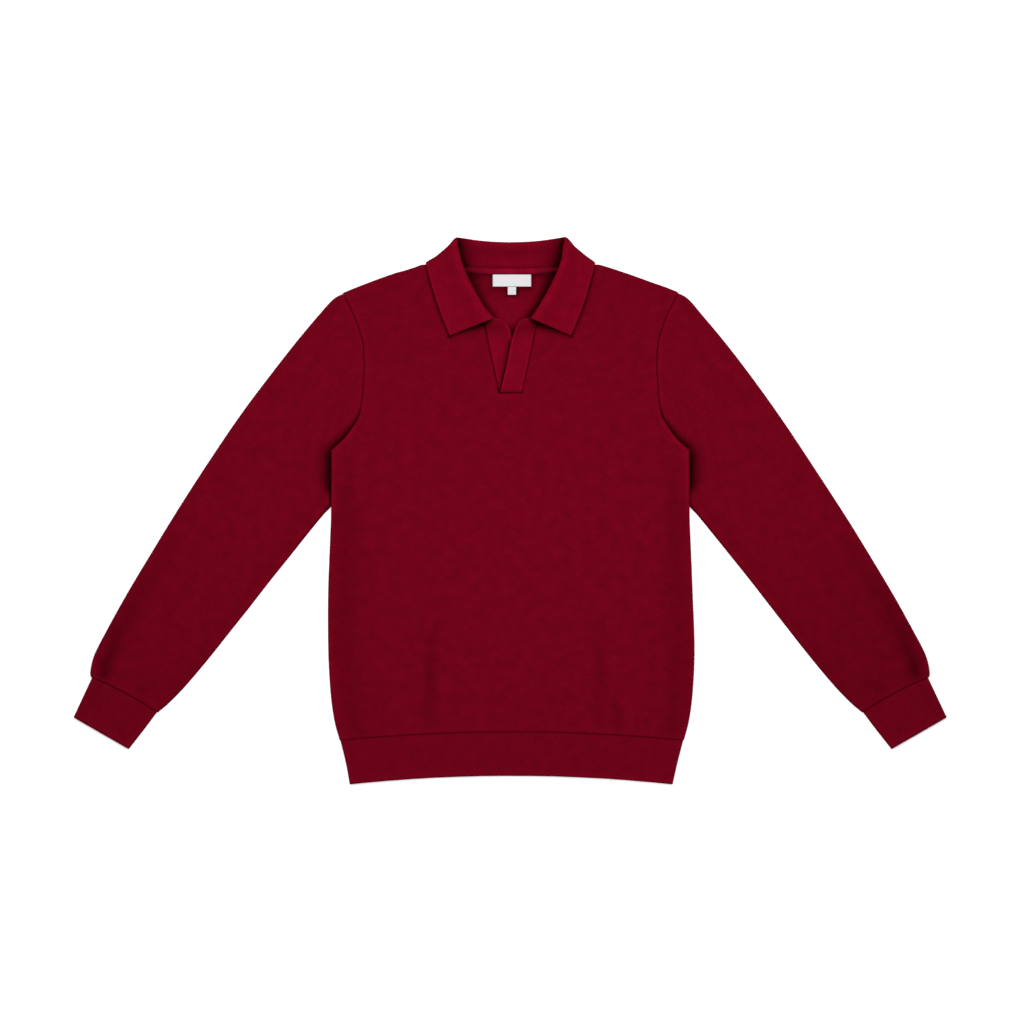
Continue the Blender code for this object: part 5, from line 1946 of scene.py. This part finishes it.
@dataclass
class PoloSweater:
    """All the pieces of the sweater."""

    materials: dict[str, bpy.types.Material] = field(default_factory=dict)
    stitch_drop: float = 4.7  # how far below the neck's seam the tape's stitches run
    stitch_height: float = 6.0

    def build(self) -> None:
        """Builds every piece in the order that it would be sewn."""
        for finish in (WINE, WINE_RIB, WINE_TRIM, WINE_TAPE, WHITE_RIBBON, WINE_YARN):
            self.materials[finish.name] = finish.material()
        cuff_cut = Cut(194.0, 59.0, 0.93)
        pieces = [
            Sleeve(side=1, creases=LEFT_SLEEVE_CREASES).build(WINE),
            Sleeve(side=-1, creases=RIGHT_SLEEVE_CREASES).build(WINE),
            CuffBand(name="rib_cuff_left", replaces="cuff_left").build(WINE_RIB, cuff_cut),
            CuffBand(name="rib_cuff_right", replaces="cuff_right", mirror=True).build(WINE_RIB, cuff_cut),
            RibbedBand().build(WINE_RIB, Cut(914.0, 58.0, 0.97)),
            BackPanel().build(WINE),
            FrontPanel().build(WINE),
            Collar().build(WINE_TRIM),
            PlacketStrip("placket_strip_left", "placket_left", PLACKET_TOP, 1).build(WINE_TRIM),
            PlacketStrip(
                "placket_strip_right", "placket_right", PLACKET_UNDER, -1, shades=UNDER_STRIP_SHADES
            ).build(WINE_TRIM),
            NeckTape().build(WINE_TAPE),
            WovenLabel("woven_neck_label", "neck_label", 1.9, 25.5, 297.3, 313.2).build(WHITE_RIBBON),
            WovenLabel("woven_size_tab", "size_tab", 1.9, 5.4, 286.6, 296.9, 1.2, 0.8).build(WHITE_RIBBON),
        ]
        for piece in pieces:
            piece.build(self.materials)
        self.stitch()

    def stitch(self) -> None:
        """Adds the rows of stitching that show."""
        yarn = self.materials[WINE_YARN.name]
        for side, start, end in (("left", 29.0, 57.0), ("right", -57.0, -25.0)):
            x = np.linspace(start, end, 30)
            y = NeckTape().line(x) - self.stitch_drop
            under_tape = np.column_stack([x, y, np.full(len(x), self.stitch_height)])
            StitchRow(f"tape_stitches_{side}", under_tape).build(WINE_YARN, yarn)


@dataclass
class Studio:
    """A pale surface, soft light from above and the camera over the garment."""

    floor_reach: float = 6000.0
    floor_drop: float = 0.4
    frame_width: float = 1361.9
    centre: tuple[float, float] = (2.0, -2.0)
    lens: float = 100.0

    def build(self) -> None:
        """Sets up the surface, the lights and the camera."""
        self.floor()
        self.light()
        self.camera()
        view = bpy.context.scene.view_settings
        view.view_transform = "Standard"
        view.look = "None"
        LOG.info("studio ready")

    def floor(self) -> None:
        """A pale surface under the garment."""
        mesh = bpy.data.meshes.new("surface")
        reach = self.floor_reach * MM
        corners = ((-1, -1), (1, -1), (1, 1), (-1, 1))
        points = [(reach * x, reach * y, -self.floor_drop * MM) for x, y in corners]
        mesh.from_pydata(points, [], [(0, 1, 2, 3)])
        g = Graph("pale_surface")
        g.shader.inputs["Emission Color"].default_value = (1.0, 1.0, 1.0, 1.0)
        g.shader.inputs["Emission Strength"].default_value = 0.5
        mesh.materials.append(g.surface((0.92, 0.92, 0.92, 1.0), 0.9, 0.0))
        added("surface", mesh)

    def light(self) -> None:
        """A bright room, a broad soft light above the collar's end and a nearer one overhead."""
        world = bpy.data.worlds.new("soft_room")
        world.use_nodes = True
        background = world.node_tree.nodes["Background"]
        background.inputs[0].default_value = (1.0, 1.0, 1.0, 1.0)
        background.inputs[1].default_value = 0.26
        bpy.context.scene.world = world
        self.lamp("collar_end_light", (2.4, 1.6), 31.0, (0.0, 1.3, 2.6), -26.0)
        self.lamp("overhead_light", (0.9, 0.7), 9.6, (0.0, 0.05, 1.2), 0.0)

    def lamp(
        self,
        name: str,
        size: tuple[float, float],
        energy: float,
        place: tuple[float, float, float],
        tilt: float,
    ) -> None:
        """Adds one broad lamp.

        Args:
            name: The lamp's name.
            size: Its width and depth in metres.
            energy: Its power in watts.
            place: Where it hangs, in metres.
            tilt: How far it is turned about X, in degrees.
        """
        data = bpy.data.lights.new(name, "AREA")
        data.shape = "RECTANGLE"
        data.size, data.size_y = size
        data.energy = energy
        lamp = added(name, data)
        lamp.location = place
        lamp.rotation_euler = (math.radians(tilt), 0.0, 0.0)
        lamp.visible_camera = False

    def camera(self) -> None:
        """The camera, straight above."""
        data = bpy.data.cameras.new("camera")
        data.lens = self.lens
        data.sensor_width = 36.0
        data.clip_end = 50.0
        made = added("camera", data)
        height = self.frame_width * self.lens / data.sensor_width
        made.location = (self.centre[0] * MM, self.centre[1] * MM, height * MM)
        bpy.context.scene.camera = made


def main() -> None:
    """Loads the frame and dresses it."""
    logging.basicConfig(level=logging.INFO, format="%(name)s: %(message)s")
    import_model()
    PoloSweater().build()
    Studio().build()


if __name__ == "__main__":
    main()
